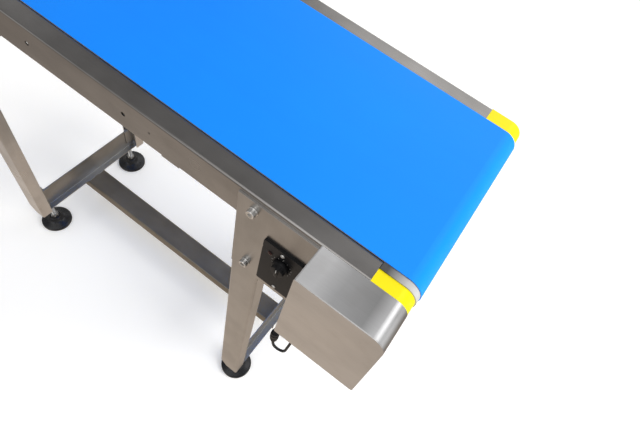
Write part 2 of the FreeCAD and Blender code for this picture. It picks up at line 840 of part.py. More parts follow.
def cover_lugs():
    """Angle lugs on the drive plate that the cover screws go into."""
    lugs = []
    for axis, u, v in cover_screw_places():
        upright = axis == "X"
        wall = cover_sheet + (cover_rear_x if upright else rail_top - cover_height)
        along, y = (v, u) if upright else (u, v)
        thick = (wall, wall + cover_lug_sheet)
        wide = (along - cover_lug_half, along + cover_lug_half)
        deep = (y - cover_lug_half, plate_outer_y)
        lug = box(thick, deep, wide) if upright else box(wide, deep, thick)
        lugs.append(lug.cut(rod(axis, (u, v), cover_screw_radius, wall - 1, wall + cover_lug_sheet + 1)))
    return lugs


def cover_screws():
    screws = []
    for axis, u, v in cover_screw_places():
        wall = cover_rear_x if axis == "X" else rail_top - cover_height
        head = rod(axis, (u, v), cover_screw_head, wall - 2.2, wall)
        shank = rod(axis, (u, v), cover_screw_radius, wall, wall + cover_sheet + cover_lug_sheet)
        screws.append(head.fuse(shank))
    return screws


def gearbox():
    """Square-flanged gearbox, bolted to the inside of the drive plate."""
    half = gearbox_size / 2
    start = -side_y
    square = [(motor_x - half, motor_z - half, 6), (motor_x + half, motor_z - half, 6),
              (motor_x + half, motor_z + half, 6), (motor_x - half, motor_z + half, 6)]
    case = prism(square, "XZ", start, start + gearbox_length)
    return case.cut(rod("Y", (motor_x, motor_z), motor_shaft_radius + shaft_play,
                        start - 1, start + gearbox_bore_depth))


def motor_span():
    start = -side_y + gearbox_length
    return start, start + motor_length


def motor_body():
    """Ribbed motor frame."""
    start, end = motor_span()
    body = rod("Y", (motor_x, motor_z), motor_radius, start, end)
    grooves = []
    for step in range(motor_fins):
        angle = 2 * math.pi * step / motor_fins
        x = motor_x + motor_radius * math.cos(angle)
        z = motor_z + motor_radius * math.sin(angle)
        grooves.append(rod("Y", (x, z), motor_fin_groove, start + 10, end - 10))
    return body.cut(grooves)


def fan_cover():
    """Cup over the motor's fan, with two rings of air holes in its end."""
    start = motor_span()[1]
    end = start + fan_cover_length
    axis = (motor_x, motor_z)
    shell = ring("Y", axis, motor_radius + 1, motor_radius - 1, start, end)
    cap = rod("Y", axis, motor_radius + 1, end - cover_sheet, end)
    slots = []
    for radius, count in ((12, 8), (24, 16)):
        for step in range(count):
            angle = 2 * math.pi * step / count
            place = (motor_x + radius * math.cos(angle), motor_z + radius * math.sin(angle))
            slots.append(rod("Y", place, fan_slot_radius, end - cover_sheet - 1, end + 1))
    return shell.fuse(cap).cut(slots)


def terminal_box():
    """Connection box under the motor, seated on its frame."""
    half = terminal_box_width / 2
    block = box((terminal_box_x - half, terminal_box_x + half), terminal_box_y, terminal_box_z)
    return block.cut(rod("Y", (motor_x, motor_z), motor_radius + cap_fit, -side_y, 0))


def output_shaft():
    near = pulley_y - pulley_width - pulley_shaft_end
    far = -side_y + gearbox_bore_depth - shaft_clearance
    return rod("Y", (motor_x, motor_z), motor_shaft_radius, near, far)


# ---- controls

def panel_outline(low, high):
    half = panel_width / 2
    return [(panel_x - half, low, panel_corner), (panel_x + half, low, panel_corner),
            (panel_x + half, high, panel_corner), (panel_x - half, high, panel_corner)]


def housing_window():
    """Window in the front near head plate, a fit round the housing."""
    x = (housing_x[0] - panel_fit, housing_x[1] + panel_fit)
    z = (housing_z[0] - panel_fit, housing_z[1] + panel_fit)
    return box(x, (panel_back_y - 1, -side_y + 1), z)


def control_base():
    """Housing behind the bezel: an open-fronted box let through the head plate."""
    block = box(housing_x, (panel_back_y, housing_back_y), housing_z)
    x = (housing_x[0] + housing_wall, housing_x[1] - housing_wall)
    z = (housing_z[0] + housing_wall, housing_z[1] - housing_wall)
    hollow = box(x, (panel_back_y - 1, housing_back_y - housing_wall), z)
    posts = [rod("Y", place, lid_screw_head + 1, panel_back_y, housing_back_y).common(block)
             for place in lid_screw_places()]
    bores = [rod("Y", place, lid_screw_radius, panel_back_y - 1, panel_back_y + lid_screw_grip)
             for place in lid_screw_places()]
    floor = (housing_z[0] - 1, housing_z[0] + housing_wall + 1)
    bores.append(rod("Z", (gland_x, gland_y), gland_radius, *floor))
    return block.cut(hollow).fuse(posts).removeSplitter().cut(bores)


def control_lid():
    """Main bezel with the knob's, the lamp's and the lower screw's holes."""
    bezel = prism(panel_outline(panel_low, band_low - band_joint), "XZ", panel_face_y, panel_back_y)
    holes = [rod("Y", (knob_x, knob_z), knob_spindle_radius + shaft_play, panel_face_y - 1, panel_back_y + 1),
             rod("Y", lamp_place(), lamp_radius, panel_face_y - 1, panel_back_y + 1),
             rod("Y", lid_screw_places()[1], lid_screw_radius, panel_face_y - 1, panel_back_y + 1)]
    return bezel.cut(holes)


def terminal_cover():
    """Short strip of the bezel over the supply terminals."""
    strip = prism(panel_outline(band_low, panel_high), "XZ", panel_face_y, panel_back_y)
    return strip.cut(rod("Y", lid_screw_places()[0], lid_screw_radius, panel_face_y - 1, panel_back_y + 1))


def lamp_place():
    return panel_x - panel_width / 2 + lamp_inset, panel_low + lamp_rise


def lid_screw_places():
    return (panel_x, (band_low + panel_high) / 2), (panel_x, panel_low + lid_screw_inset)


def lid_screws():
    screws = []
    for place in lid_screw_places():
        head = rod("Y", place, lid_screw_head, panel_face_y - 1.6, panel_face_y)
        shank = rod("Y", place, lid_screw_radius, panel_face_y, panel_back_y + lid_screw_grip)
        screws.append(head.fuse(shank))
    return screws


def speed_knob():
    """Round knob with a raised grip bar, on its own spindle."""
    axis = (knob_x, knob_z)
    back = panel_face_y - knob_gap
    front = back - knob_height
    skirt = rod("Y", axis, knob_radius, back - knob_skirt, back)
    barrel = rod("Y", axis, knob_barrel_radius, front + knob_bar_rise, back)
    bar_x = (knob_x - knob_bar_half, knob_x + knob_bar_half)
    bar = box(bar_x, (front, back), (knob_z - knob_barrel_radius, knob_z + knob_barrel_radius))
    spindle = rod("Y", axis, knob_spindle_radius, back - 1, panel_back_y + 4)
    return skirt.fuse([barrel, bar, spindle]).removeSplitter()


def pilot_lamp():
    place = lamp_place()
    lens = rod("Y", place, lamp_radius, panel_face_y - 1.6, panel_back_y)
    return lens.fuse(rod("Y", place, lamp_radius + 1, panel_face_y - 0.8, panel_face_y))


def panel_gland():
    """Gland through the housing's floor; the lead leaves it straight down."""
    axis = (gland_x, gland_y)
    floor = housing_z[0]
    nut_low = floor - gland_thread - gland_nut_height
    thread = rod("Z", axis, gland_radius, lead_upper[0][2], floor + housing_wall)
    nut = rod("Z", axis, gland_nut_radius, nut_low, nut_low + gland_nut_height)
    flange = rod("Z", axis, gland_nut_radius, floor - housing_wall, floor)
    return thread.fuse([nut, flange]).removeSplitter()


# ---- motor lead, from the control box's gland to the motor's terminal box

def lead_path(points):
    """Straight runs joined by tangent arcs; prints each arc's radius."""
    spots = [vector(*point) for point in points]
    edges = []
    last = spots[0]
    radii = []
    for before, here, after in zip(spots, spots[1:], spots[2:]):
        into = (here - before).normalize()
        out = (after - here).normalize()
        turn = into.getAngle(out)
        reach = 0.45 * min(before.distanceToPoint(here), here.distanceToPoint(after))
        radius = reach / math.tan(turn / 2)
        radii.append(round(radius, 1))
        start = here - into * reach
        end = here + out * reach
        inward = (out - into).normalize()
        middle = here + inward * (radius / math.cos(turn / 2) - radius)
        edges.append(Part.LineSegment(last, start).toShape())
        edges.append(Part.Arc(start, middle, end).toShape())
        last = end
    edges.append(Part.LineSegment(last, spots[-1]).toShape())
    print("lead arc radii, mm:", radii)
    return Part.Wire(edges)


def lead_tube(points):
    path = lead_path(points)
    start = vector(*points[0])
    along = vector(*points[1]) - start
    disc = Part.Face(Part.Wire(Part.makeCircle(lead_radius, start, along)))
    tube = path.makePipe(disc)
    section = math.pi * lead_radius ** 2
    print("lead length, mm:", round(path.Length, 1),
          "volume over section times length:", round(tube.Volume / (section * path.Length), 4))
    return tube


def along_line(start, end, radius, inner=0.0):
    """A rod or sleeve from one point to another."""
    base = vector(*start)
    axis = vector(*end) - base
    body = Part.makeCylinder(radius, axis.Length, base, axis)
    return body.cut(Part.makeCylinder(inner, axis.Length, base, axis)) if inner else body


def lead_connector():
    """Round inline connector: a body, a coupling ring and two sleeve ends."""
    top, bottom = vector(*connector_top), vector(*connector_bottom)

    def at(share):
        return tuple(top + (bottom - top) * share)

    parts = [along_line(at(0.0), at(1.0), connector_radius * 0.6),
             along_line(at(0.2), at(0.8), connector_radius * 0.9),
             along_line(at(0.38), at(0.62), connector_radius)]
    return parts[0].fuse(parts[1:])


def motor_gland():
    """Gland on the terminal box's underside, on the line that the lead comes in by."""
    line = vector(*motor_gland_lean)
    reach = terminal_box_z[0] - motor_gland_place[2]
    top = tuple(vector(*motor_gland_place) + line * (reach / line.z))
    body = along_line(motor_gland_place, top, motor_gland_radius)
    below = box((motor_x - gearbox_size, motor_x + gearbox_size), (-side_y, 0), (0, terminal_box_z[0]))
    return body.common(below)


def build():
    os.makedirs("parts", exist_ok=True)

    save("conveyor_belt", conveyor_belt())
    save("side_rail_near", near_rail())
    save("side_rail_far", mirrored(near_rail()))
    save("slider_bed", slider_bed())
    save("bed_ties", *bed_ties())

    save("head_caps", head_cap_near(), head_cap_far())
    save("nose_plates", head_nose_plate(), tail_nose_plate())
    save("head_drum", head_drum())
    save("head_shaft", head_shaft())
    save("head_bearings", *head_bearings())

    sides = ((-1, near_cap_width), (1, far_cap_width))
    save("tail_caps", *[tail_cap(*side) for side in sides])
    save("take_up_blocks", *[take_up_block(*side) for side in sides])
    for name, side in zip(("near", "far"), sides):
        save("take_up_screw_" + name, take_up_screw(*side))
    save("tail_drum", tail_drum())
    save("tail_bearings", *tail_bearings())
    save("tail_axle", tail_axle())

    for number, x in enumerate(roller_places, 1):
        save("return_roller_%d" % number, return_roller(x))
    save("roller_supports", *(roller_axles() + roller_hangers()))

    for place, x in leg_xs.items():
        leg = near_leg(x)
        save("leg_%s_near" % place, leg.cut(housing_window()) if place == "front" else leg)
        save("leg_%s_far" % place, mirrored(leg))
    save("upper_ties", *[upper_tie(x) for x in leg_xs.values()])
    save("cross_members", *[cross_member(x) for x in leg_xs.values()])
    save("cross_brackets", *[bracket for x in leg_xs.values() for bracket in cross_brackets(x)])
    save("leg_bolts", *(leg_bolts() + rail_nuts()))
    plates = [foot_plate(x) for x in leg_xs.values()]
    save("foot_plates", *(plates + [mirrored(plate) for plate in plates]))
    save("stretcher", stretcher())
    for place, x in leg_xs.items():
        for name, y in (("near", -foot_y), ("far", foot_y)):
            save("foot_pad_%s_%s" % (place, name), foot_pad(x, y))
            save("foot_spindle_%s_%s" % (place, name), foot_spindle(x, y))
    save("lock_nuts", *lock_nuts())

    save("drive_plate", drive_plate())
    save("gearbox", gearbox())
    save("motor_body", motor_body())
    save("motor_covers", fan_cover(), terminal_box())
    save("output_shaft", output_shaft())
    save("drive_pulley", toothed_pulley(motor_x, motor_z, drive_teeth, motor_shaft_radius))
    save("driven_pulley", toothed_pulley(head_x, drum_z, driven_teeth, head_shaft_radius))
    save("toothed_belt", toothed_belt())
    save("cover_band", cover_band())
    save("cover_face", cover_face())

    save("control_base", control_base())
    save("control_lid", control_lid())
    save("terminal_cover", terminal_cover())
    save("small_screws", *(lid_screws() + cover_screws()))
    save("speed_knob", speed_knob())
    save("pilot_lamp", pilot_lamp())
    save("lead_glands", panel_gland(), motor_gland())
    save("motor_lead_upper", lead_tube(lead_upper))
    save("motor_lead_lower", lead_tube(lead_lower))
    save("lead_connector", lead_connector())


build()
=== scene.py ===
import math

import bmesh
import bpy
from mathutils import Matrix, Vector


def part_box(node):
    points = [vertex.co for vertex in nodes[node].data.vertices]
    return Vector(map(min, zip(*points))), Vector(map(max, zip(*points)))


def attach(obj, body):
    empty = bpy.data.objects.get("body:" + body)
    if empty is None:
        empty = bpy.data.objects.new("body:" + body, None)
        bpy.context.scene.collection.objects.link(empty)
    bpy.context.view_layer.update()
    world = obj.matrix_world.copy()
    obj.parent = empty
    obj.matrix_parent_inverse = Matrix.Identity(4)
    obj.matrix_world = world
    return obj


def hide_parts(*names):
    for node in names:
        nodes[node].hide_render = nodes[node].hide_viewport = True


# A belt conveyor section: its fittings, motor lead, finishes and studio, built round the CAD frame.
# Lengths are in metres and angles in radians, unless a name says otherwise.

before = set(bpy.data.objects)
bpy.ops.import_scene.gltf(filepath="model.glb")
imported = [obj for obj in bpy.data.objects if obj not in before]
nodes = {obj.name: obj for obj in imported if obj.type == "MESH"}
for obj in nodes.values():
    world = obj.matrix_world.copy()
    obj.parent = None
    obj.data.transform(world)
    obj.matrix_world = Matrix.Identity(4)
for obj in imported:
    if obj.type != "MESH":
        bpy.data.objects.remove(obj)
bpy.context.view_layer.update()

# ---- camera, at the photograph's viewing angle

CAMERA_PLACE = (0.53905, -0.44535, 1.36704)
CAMERA_RIGHT = (0.802364, 0.563004, 0.198072)
CAMERA_UP = (-0.575352, 0.641424, 0.507488)
CAMERA_BACK = (0.158670, -0.521154, 0.838583)
CAMERA_LENS = 27.39
SENSOR_WIDTH = 36.0
CLIP_NEAR, CLIP_FAR = 0.01, 60


def add_camera():
    data = bpy.data.cameras.new("camera")
    data.lens = CAMERA_LENS
    data.sensor_width = SENSOR_WIDTH
    data.clip_start = CLIP_NEAR
    data.clip_end = CLIP_FAR
    camera = bpy.data.objects.new("camera", data)
    bpy.context.scene.collection.objects.link(camera)
    turn = Matrix((CAMERA_RIGHT, CAMERA_UP, CAMERA_BACK)).transposed().to_4x4()
    camera.matrix_world = Matrix.Translation(CAMERA_PLACE) @ turn
    bpy.context.scene.camera = camera


add_camera()

# ---- turned pieces: every small fitting is a stack of rings round an axis

TURN_STEPS = 72
SMALL_STEPS = 36            # steps round a thin shank, and in one turn of a thread
KNOB_STEPS, PAD_STEPS, TINY_STEPS, BEAD_STEPS = 144, 96, 24, 12
LOBE_DEPTH = 0.13           # of a six-lobed recess, as a part of its radius
NEARLY_UPRIGHT = 0.9        # beyond this share of Z, an axis is squared against X instead
SHARP_ANGLE = math.radians(32)
MERGE_DISTANCE = 1e-6
PANEL_AXES = ((1, 0, 0), (0, 1, 0), (0, 0, 1))


def hexed(angle):
    """A hexagon with its corners on the unit circle."""
    return math.cos(math.pi / 6) / math.cos(angle % (math.pi / 3) - math.pi / 6)


def ribbed(count, depth):
    """A circle with shallow round ribs; depth is a part of the radius."""
    return lambda angle: 1 - depth * (0.5 - 0.5 * math.cos(count * angle))


def lobed(angle):
    """Six-lobed driver recess."""
    return 1 - LOBE_DEPTH * (0.5 - 0.5 * math.cos(6 * angle))


def frame_on(axis):
    """Two directions square to an axis."""
    axis = Vector(axis).normalized()
    other = Vector((0, 0, 1)) if abs(axis.z) < NEARLY_UPRIGHT else Vector((1, 0, 0))
    side = axis.cross(other).normalized()
    return axis, side, axis.cross(side)


def add_rings(mesh, rows, axis, place, steps=TURN_STEPS):
    """Rows are (radius, along) or (radius, along, shape), from one end of the piece to the other."""
    axis, side, up = frame_on(axis)
    place = Vector(place)
    last = None
    for row in rows:
        radius, along = row[0], row[1]
        shape = row[2] if len(row) > 2 else None
        ring = []
        for step in range(steps):
            angle = 2 * math.pi * step / steps
            reach = radius * (shape(angle) if shape else 1.0)
            spot = place + axis * along + side * (reach * math.cos(angle)) + up * (reach * math.sin(angle))
            ring.append(mesh.verts.new(spot))
        if last:
            for step in range(steps):
                after = (step + 1) % steps
                mesh.faces.new((last[step], last[after], ring[after], ring[step]))
        else:
            mesh.faces.new(ring[::-1])
        last = ring
    mesh.faces.new(last)


def add_block(mesh, centre, axes, half, bevel):
    """A bevelled block: half sizes along three directions."""
    made = bmesh.ops.create_cube(mesh, size=2.0)["verts"]
    for vert in made:
        spot = Vector(centre)
        for axis, value, size in zip(axes, vert.co, half):
            spot += Vector(axis) * (value * size)
        vert.co = spot
    edges = list({edge for vert in made for edge in vert.link_edges})
    bmesh.ops.bevel(mesh, geom=edges, offset=bevel, segments=2, affect="EDGES", profile=0.5)


def add_thread(mesh, radius, pitch, depth, start, end, axis, place):
    """A helical thread between two places along an axis."""
    axis, side, up = frame_on(axis)
    place = Vector(place)
    steps = SMALL_STEPS
    turns = int((end - start) / pitch) - 1
    crests, roots = [], []
    for step in range(turns * steps + 1):
        angle = 2 * math.pi * step / steps
        out = side * math.cos(angle) + up * math.sin(angle)
        along = start + pitch * step / steps
        crests.append(mesh.verts.new(place + axis * (along + pitch / 2) + out * radius))
        roots.append(mesh.verts.new(place + axis * along + out * (radius - depth)))
    for step in range(turns * steps):
        mesh.faces.new((roots[step], roots[step + 1], crests[step + 1], crests[step]))
        if step + steps < turns * steps:
            low, high = step, step + steps
            mesh.faces.new((crests[low], crests[low + 1], roots[high + 1], roots[high]))


def finish_piece(mesh, name, body, replaced=()):
    """Turns a bmesh into a piece that rides on a body."""
    bmesh.ops.recalc_face_normals(mesh, faces=mesh.faces)
    data = bpy.data.meshes.new(name)
    mesh.to_mesh(data)
    mesh.free()
    data.shade_smooth()
    data.set_sharp_from_angle(angle=SHARP_ANGLE)
    piece = bpy.data.objects.new(name, data)
    bpy.context.scene.collection.objects.link(piece)
    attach(piece, body)
    if replaced:
        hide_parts(*replaced)
    return piece


def islands(name):
    """Low and high corners of each separate solid of a CAD node."""
    mesh = bmesh.new()
    mesh.from_mesh(nodes[name].data)
    bmesh.ops.remove_doubles(mesh, verts=mesh.verts, dist=MERGE_DISTANCE)
    seen = set()
    found = []
    for first in mesh.verts:
        if first in seen:
            continue
        seen.add(first)
        stack, low, high = [first], first.co.copy(), first.co.copy()
        while stack:
            vert = stack.pop()
            for axis in range(3):
                low[axis] = min(low[axis], vert.co[axis])
                high[axis] = max(high[axis], vert.co[axis])
            for edge in vert.link_edges:
                other = edge.other_vert(vert)
                if other not in seen:
                    seen.add(other)
                    stack.append(other)
        found.append((low, high))
    mesh.free()
    return found


# ---- motor lead: an upper piece from the control panel, an inline connector, a lower piece with a tight loop

LEAD_RADIUS = 0.00275
UPPER_ROUTE = [(0.452, -0.158, 0.702), (0.452, -0.158, 0.687), (0.453, -0.157, 0.658), (0.455, -0.156, 0.616),
               (0.4555, -0.1575, 0.572), (0.45383, -0.160, 0.520), (0.455, -0.160, 0.486)]
LOWER_ROUTE = [(0.457, -0.160, 0.428), (0.45783, -0.160, 0.404), (0.472, -0.1595, 0.395), (0.487, -0.158, 0.404),
               (0.488, -0.157, 0.434), (0.490, -0.154, 0.468), (0.494, -0.147, 0.510), (0.499, -0.139, 0.552),
               (0.505, -0.128, 0.595), (0.511, -0.116, 0.634), (0.517, -0.104, 0.664), (0.524, -0.094, 0.684),
               (0.529, -0.090, 0.697)]


def lead(name, route):
    """A smooth round cord through a given route."""
    curve = bpy.data.curves.new(name, "CURVE")
    curve.dimensions = "3D"
    curve.resolution_u = 16
    curve.bevel_depth = 1.0
    curve.bevel_resolution = 6
    curve.use_fill_caps = True
    spline = curve.splines.new("NURBS")
    spline.points.add(len(route) - 1)
    for point, place in zip(spline.points, route):
        point.co = (*place, 1.0)
        point.radius = LEAD_RADIUS
    spline.order_u = 3
    spline.use_endpoint_u = True
    piece = bpy.data.objects.new(name, curve)
    bpy.context.scene.collection.objects.link(piece)
    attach(piece, "frame")
    return piece


SLEEVE_RADIUS, GROOVE_RADIUS = 0.0050, 0.0041
COUPLING_RADIUS, KNURL_RADIUS = 0.0076, 0.0085
GROOVE_PITCH = 0.0024


def groove_rows(start):
    """Four grooves round a connector's sleeve."""
    rows = []
    for step in range(4):
        low = start + GROOVE_PITCH * step
        rows += [(SLEEVE_RADIUS, low), (GROOVE_RADIUS, low + 0.0005), (GROOVE_RADIUS, low + 0.0011),
                 (SLEEVE_RADIUS, low + 0.0016)]
    return rows


def connector():
    """Round inline connector: two ribbed sleeves and a knurled coupling ring."""
    top, bottom = Vector(UPPER_ROUTE[-1]), Vector(LOWER_ROUTE[0])
    length = (bottom - top).length
    body, ring = COUPLING_RADIUS, KNURL_RADIUS
    knurl = ribbed(24, 0.07)
    rows = [(0.0032, 0.0), (SLEEVE_RADIUS, 0.0006), *groove_rows(0.0014), (SLEEVE_RADIUS, length * 0.2),
            (body, length * 0.22), (body, length * 0.37), (ring, length * 0.38), (ring, length * 0.395, knurl),
            (ring, length * 0.605, knurl), (ring, length * 0.62), (body, length * 0.63), (body, length * 0.78),
            (SLEEVE_RADIUS, length * 0.8), *groove_rows(length - 0.0108), (SLEEVE_RADIUS, length - 0.0006),
            (0.0032, length)]
    mesh = bmesh.new()
    add_rings(mesh, rows, bottom - top, top)
    return finish_piece(mesh, "lead_coupling", "frame", ["lead_connector"])


lead_coupling = connector()
upper_lead = lead("lead_upper", UPPER_ROUTE)
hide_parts("motor_lead_upper")
lower_lead = lead("lead_lower", LOWER_ROUTE)
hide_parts("motor_lead_lower")

# ---- fastenings and fittings

CAP_SCREW_RADIUS, CAP_SCREW_HEAD, CAP_SCREW_SOCKET = 0.0065, 0.008, 0.0036     # M8 in the legs
LEG_NUT_RADIUS, LEG_NUT_HEIGHT, LEG_NUT_BORE = 0.0068, 0.0072, 0.0042
LEG_NUT_LIMIT = 0.009       # a solid of leg_bolts shorter than this is a nut
SHANK_RADIUS = 0.004
TAKE_UP_HEAD_RADIUS, TAKE_UP_HEAD, TAKE_UP_SOCKET = 0.0049, 0.003, 0.0028      # M6
TAKE_UP_RADIUS, TAKE_UP_PITCH, TAKE_UP_DEPTH = 0.003, 0.001, 0.0005
SPINDLE_RADIUS, SPINDLE_PITCH, SPINDLE_DEPTH = 0.006, 0.00175, 0.0009          # M12
SPINDLE_CORE, NUT_CORNER, NUT_HOLE = 0.0052, 0.01097, 0.0066


def cap_screw_rows(radius, height, socket):
    """A knurled socket head on a thin washer, from its seat outwards, then down into the socket."""
    washer = radius * 1.12
    knurl = ribbed(36, 0.025)
    return [(washer * 0.96, 0.0), (washer, 0.0002), (washer, 0.0011), (washer * 0.97, 0.0014), (radius, 0.0015),
            (radius, height * 0.26), (radius, height * 0.30, knurl), (radius, height * 0.84, knurl),
            (radius, height * 0.88), (radius * 0.93, height), (socket * 1.22, height), (socket, height * 0.95, hexed),
            (socket, height * 0.5, hexed), (socket * 0.2, height * 0.42)]


def nut_rows(radius, height, bore):
    """A flanged hexagon nut with chamfered corners."""
    return [(radius * 1.22, 0.0), (radius * 1.25, 0.0008), (radius * 1.12, 0.0018), (radius, 0.0020, hexed),
            (radius, height * 0.88, hexed), (radius * 0.9, height), (bore, height), (bore * 0.9, height - 0.0006)]


def leg_screws():
    """Cap screws and nuts in place of the plain ones that hold the legs."""
    mesh = bmesh.new()
    for low, high in islands("leg_bolts"):
        side = -1 if low.y < 0 else 1
        middle = ((low.x + high.x) / 2, (low.z + high.z) / 2)
        inner, outer = sorted((low.y, high.y), key=abs)
        if high.y - low.y < LEG_NUT_LIMIT:
            rows = nut_rows(LEG_NUT_RADIUS, LEG_NUT_HEIGHT, LEG_NUT_BORE)
            add_rings(mesh, rows, (0, -side, 0), (middle[0], outer, middle[1]))
            continue
        seat = outer - side * CAP_SCREW_HEAD
        rows = cap_screw_rows(CAP_SCREW_RADIUS, CAP_SCREW_HEAD, CAP_SCREW_SOCKET)
        add_rings(mesh, rows, (0, side, 0), (middle[0], seat, middle[1]))
        shank = [(0.0036, 0.0), (SHANK_RADIUS, 0.0006), (SHANK_RADIUS, abs(seat - inner) + 0.001)]
        add_rings(mesh, shank, (0, side, 0), (middle[0], inner, middle[1]), SMALL_STEPS)
    return finish_piece(mesh, "leg_screw_heads", "frame", ["leg_bolts"])


def button_rows(radius, height, socket):
    """A domed head with a six-lobed recess."""
    return [(radius * 0.98, 0.0), (radius, 0.0002), (radius * 0.97, height * 0.35), (radius * 0.83, height * 0.72),
            (radius * 0.62, height * 0.93), (socket * 1.1, height), (socket, height * 0.94, lobed),
            (socket * 0.96, height * 0.3, lobed), (socket * 0.2, height * 0.22)]


def small_screw_heads():
    """Domed heads for the screws of the panel and the cover."""
    mesh = bmesh.new()
    for low, high in islands("small_screws"):
        size = high - low
        middle = (low + high) / 2
        along = max(range(3), key=lambda axis: size[axis])
        direction = Vector((0, 0, 0))
        direction[along] = -1
        head = 0.0016 if along == 1 else 0.0022
        radius = min(size) / 2
        seat = middle.copy()
        seat[along] = low[along] + head
        add_rings(mesh, button_rows(radius, head, radius * 0.5), direction, seat)
        shank = radius * 0.5
        add_rings(mesh, [(shank, 0.0), (shank, size[along] - head - 0.0005), (shank * 0.8, size[along] - head)],
                  -direction, seat, TINY_STEPS)
    return finish_piece(mesh, "panel_and_cover_screws", "frame", ["small_screws"])


def take_up_screw(side):
    """Threaded take-up screw with its socket head."""
    node = "take_up_screw_" + side
    low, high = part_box(node)
    middle = (Vector(low) + Vector(high)) / 2
    place = (low[0] + TAKE_UP_HEAD, middle.y, middle.z)
    mesh = bmesh.new()
    head = cap_screw_rows(TAKE_UP_HEAD_RADIUS, TAKE_UP_HEAD, TAKE_UP_SOCKET)
    without_washer = [row for row in head if row[1] > 0.0005 and row[0] <= TAKE_UP_HEAD_RADIUS]
    rows = [(TAKE_UP_HEAD_RADIUS, 0.0)] + without_washer
    add_rings(mesh, rows, (-1, 0, 0), place)
    reach = high[0] - place[0]
    add_rings(mesh, [(0.0026, 0.0), (0.0026, reach - 0.0006), (0.0019, reach)], (1, 0, 0), place, SMALL_STEPS)
    add_thread(mesh, TAKE_UP_RADIUS, TAKE_UP_PITCH, TAKE_UP_DEPTH, 0.004, reach - 0.0004, (1, 0, 0), place)
    return finish_piece(mesh, "tension_screw_" + side, node, [node])


def foot(end, side):
    """Threaded spindle with spanner flats, and its moulded pad: two pieces."""
    tag = end + "_" + side
    spindle, pad = "foot_spindle_" + tag, "foot_pad_" + tag
    low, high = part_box(spindle)
    x, y = (low[0] + high[0]) / 2, (low[1] + high[1]) / 2
    top = high[2]
    base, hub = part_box(pad)[0][2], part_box(pad)[1][2]
    mesh = bmesh.new()
    spanner_flats = [(NUT_CORNER * 0.88, hub + 0.0001), (NUT_CORNER, hub + 0.0012, hexed),
                     (NUT_CORNER, hub + 0.0068, hexed), (NUT_CORNER * 0.88, hub + 0.008), (0.0054, hub + 0.008)]
    add_rings(mesh, spanner_flats, (0, 0, 1), (x, y, 0))
    core = [(SPINDLE_CORE, low[2]), (SPINDLE_CORE, top - 0.0014), (0.0042, top)]
    add_rings(mesh, core, (0, 0, 1), (x, y, 0), SMALL_STEPS)
    add_thread(mesh, SPINDLE_RADIUS, SPINDLE_PITCH, SPINDLE_DEPTH, hub + 0.009, top - 0.0008, (0, 0, 1), (x, y, 0))
    screw = finish_piece(mesh, "foot_screw_" + tag, "foot_" + tag, [spindle])
    mesh = bmesh.new()
    rows = [(0.0372, base), (0.0392, base + 0.0010), (0.0398, base + 0.0022), (0.0398, base + 0.0034),
            (0.0390, base + 0.0038), (0.0390, base + 0.0044), (0.0398, base + 0.0048), (0.0400, base + 0.0062),
            (0.0397, base + 0.0080), (0.0386, base + 0.0092), (0.0362, base + 0.0102), (0.0300, base + 0.0124),
            (0.0240, base + 0.0146), (0.0205, base + 0.0164), (0.0182, base + 0.0190), (0.0170, base + 0.0225),
            (0.0160, base + 0.0256), (0.0152, base + 0.0268), (0.0140, base + 0.0277), (0.0125, base + 0.0280),
            (0.0062, base + 0.0280), (0.0061, base + 0.0274)]
    add_rings(mesh, rows, (0, 0, 1), (x, y, 0), PAD_STEPS)
    return screw, finish_piece(mesh, "foot_base_" + tag, "foot_" + tag, [pad])


def lock_nut_set():
    """Chamfered lock nuts under the foot plates."""
    mesh = bmesh.new()
    for low, high in islands("lock_nuts"):
        place = ((low.x + high.x) / 2, (low.y + high.y) / 2, low.z)
        height = high.z - low.z
        rows = [(NUT_HOLE, 0.0002), (NUT_CORNER * 0.88, 0.0), (NUT_CORNER, 0.0011, hexed),
                (NUT_CORNER, height - 0.0011, hexed), (NUT_CORNER * 0.88, height), (NUT_HOLE, height - 0.0002)]
        add_rings(mesh, rows, (0, 0, 1), place)
    return finish_piece(mesh, "foot_lock_nuts", "frame", ["lock_nuts"])


def glands():
    """A nut, a ribbed dome and a soft lip, one gland where the lead leaves the panel and one at the motor."""
    low, high = min(islands("lead_glands"), key=lambda box: box[0].x)
    ribs = ribbed(18, 0.06)
    mesh = bmesh.new()
    top = Vector(((low.x + high.x) / 2, (low.y + high.y) / 2, high.z))
    height = top.z - low.z
    rows = [(0.0058, 0.0), (0.006, 0.0004), (0.006, 0.0020), (0.008, 0.0021), (0.008, 0.0038), (0.006, 0.0041),
            (0.006, 0.0081), (0.0078, 0.0082, hexed), (0.0078, 0.0120, hexed), (0.0074, 0.0124),
            (0.0072, 0.0128, ribs), (0.0064, 0.0142, ribs), (0.0048, 0.0156), (0.0034, height),
            (0.0028, height - 0.0002)]
    add_rings(mesh, rows, (0, 0, -1), top)
    start, before = Vector(LOWER_ROUTE[-1]), Vector(LOWER_ROUTE[-2])
    line = (start - before).normalized()
    length = (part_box("motor_covers")[0][2] - start.z) / line.z
    rows = [(0.0029, 0.0), (0.0036, 0.0002), (0.0046, 0.0016), (0.0053, 0.0030, ribs), (0.0055, 0.0050, ribs),
            (0.0056, 0.0054), (0.0057, 0.0058, hexed), (0.0057, length * 0.8, hexed), (0.0055, length * 0.82),
            (0.0055, length)]
    add_rings(mesh, rows, line, start)
    return finish_piece(mesh, "cable_glands", "frame", ["lead_glands"])


def middle_xz(node):
    """Middle of a node, seen from the front of the control panel."""
    low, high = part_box(node)
    return (low[0] + high[0]) / 2, (low[2] + high[2]) / 2


def panel_face():
    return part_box("control_lid")[0][1]


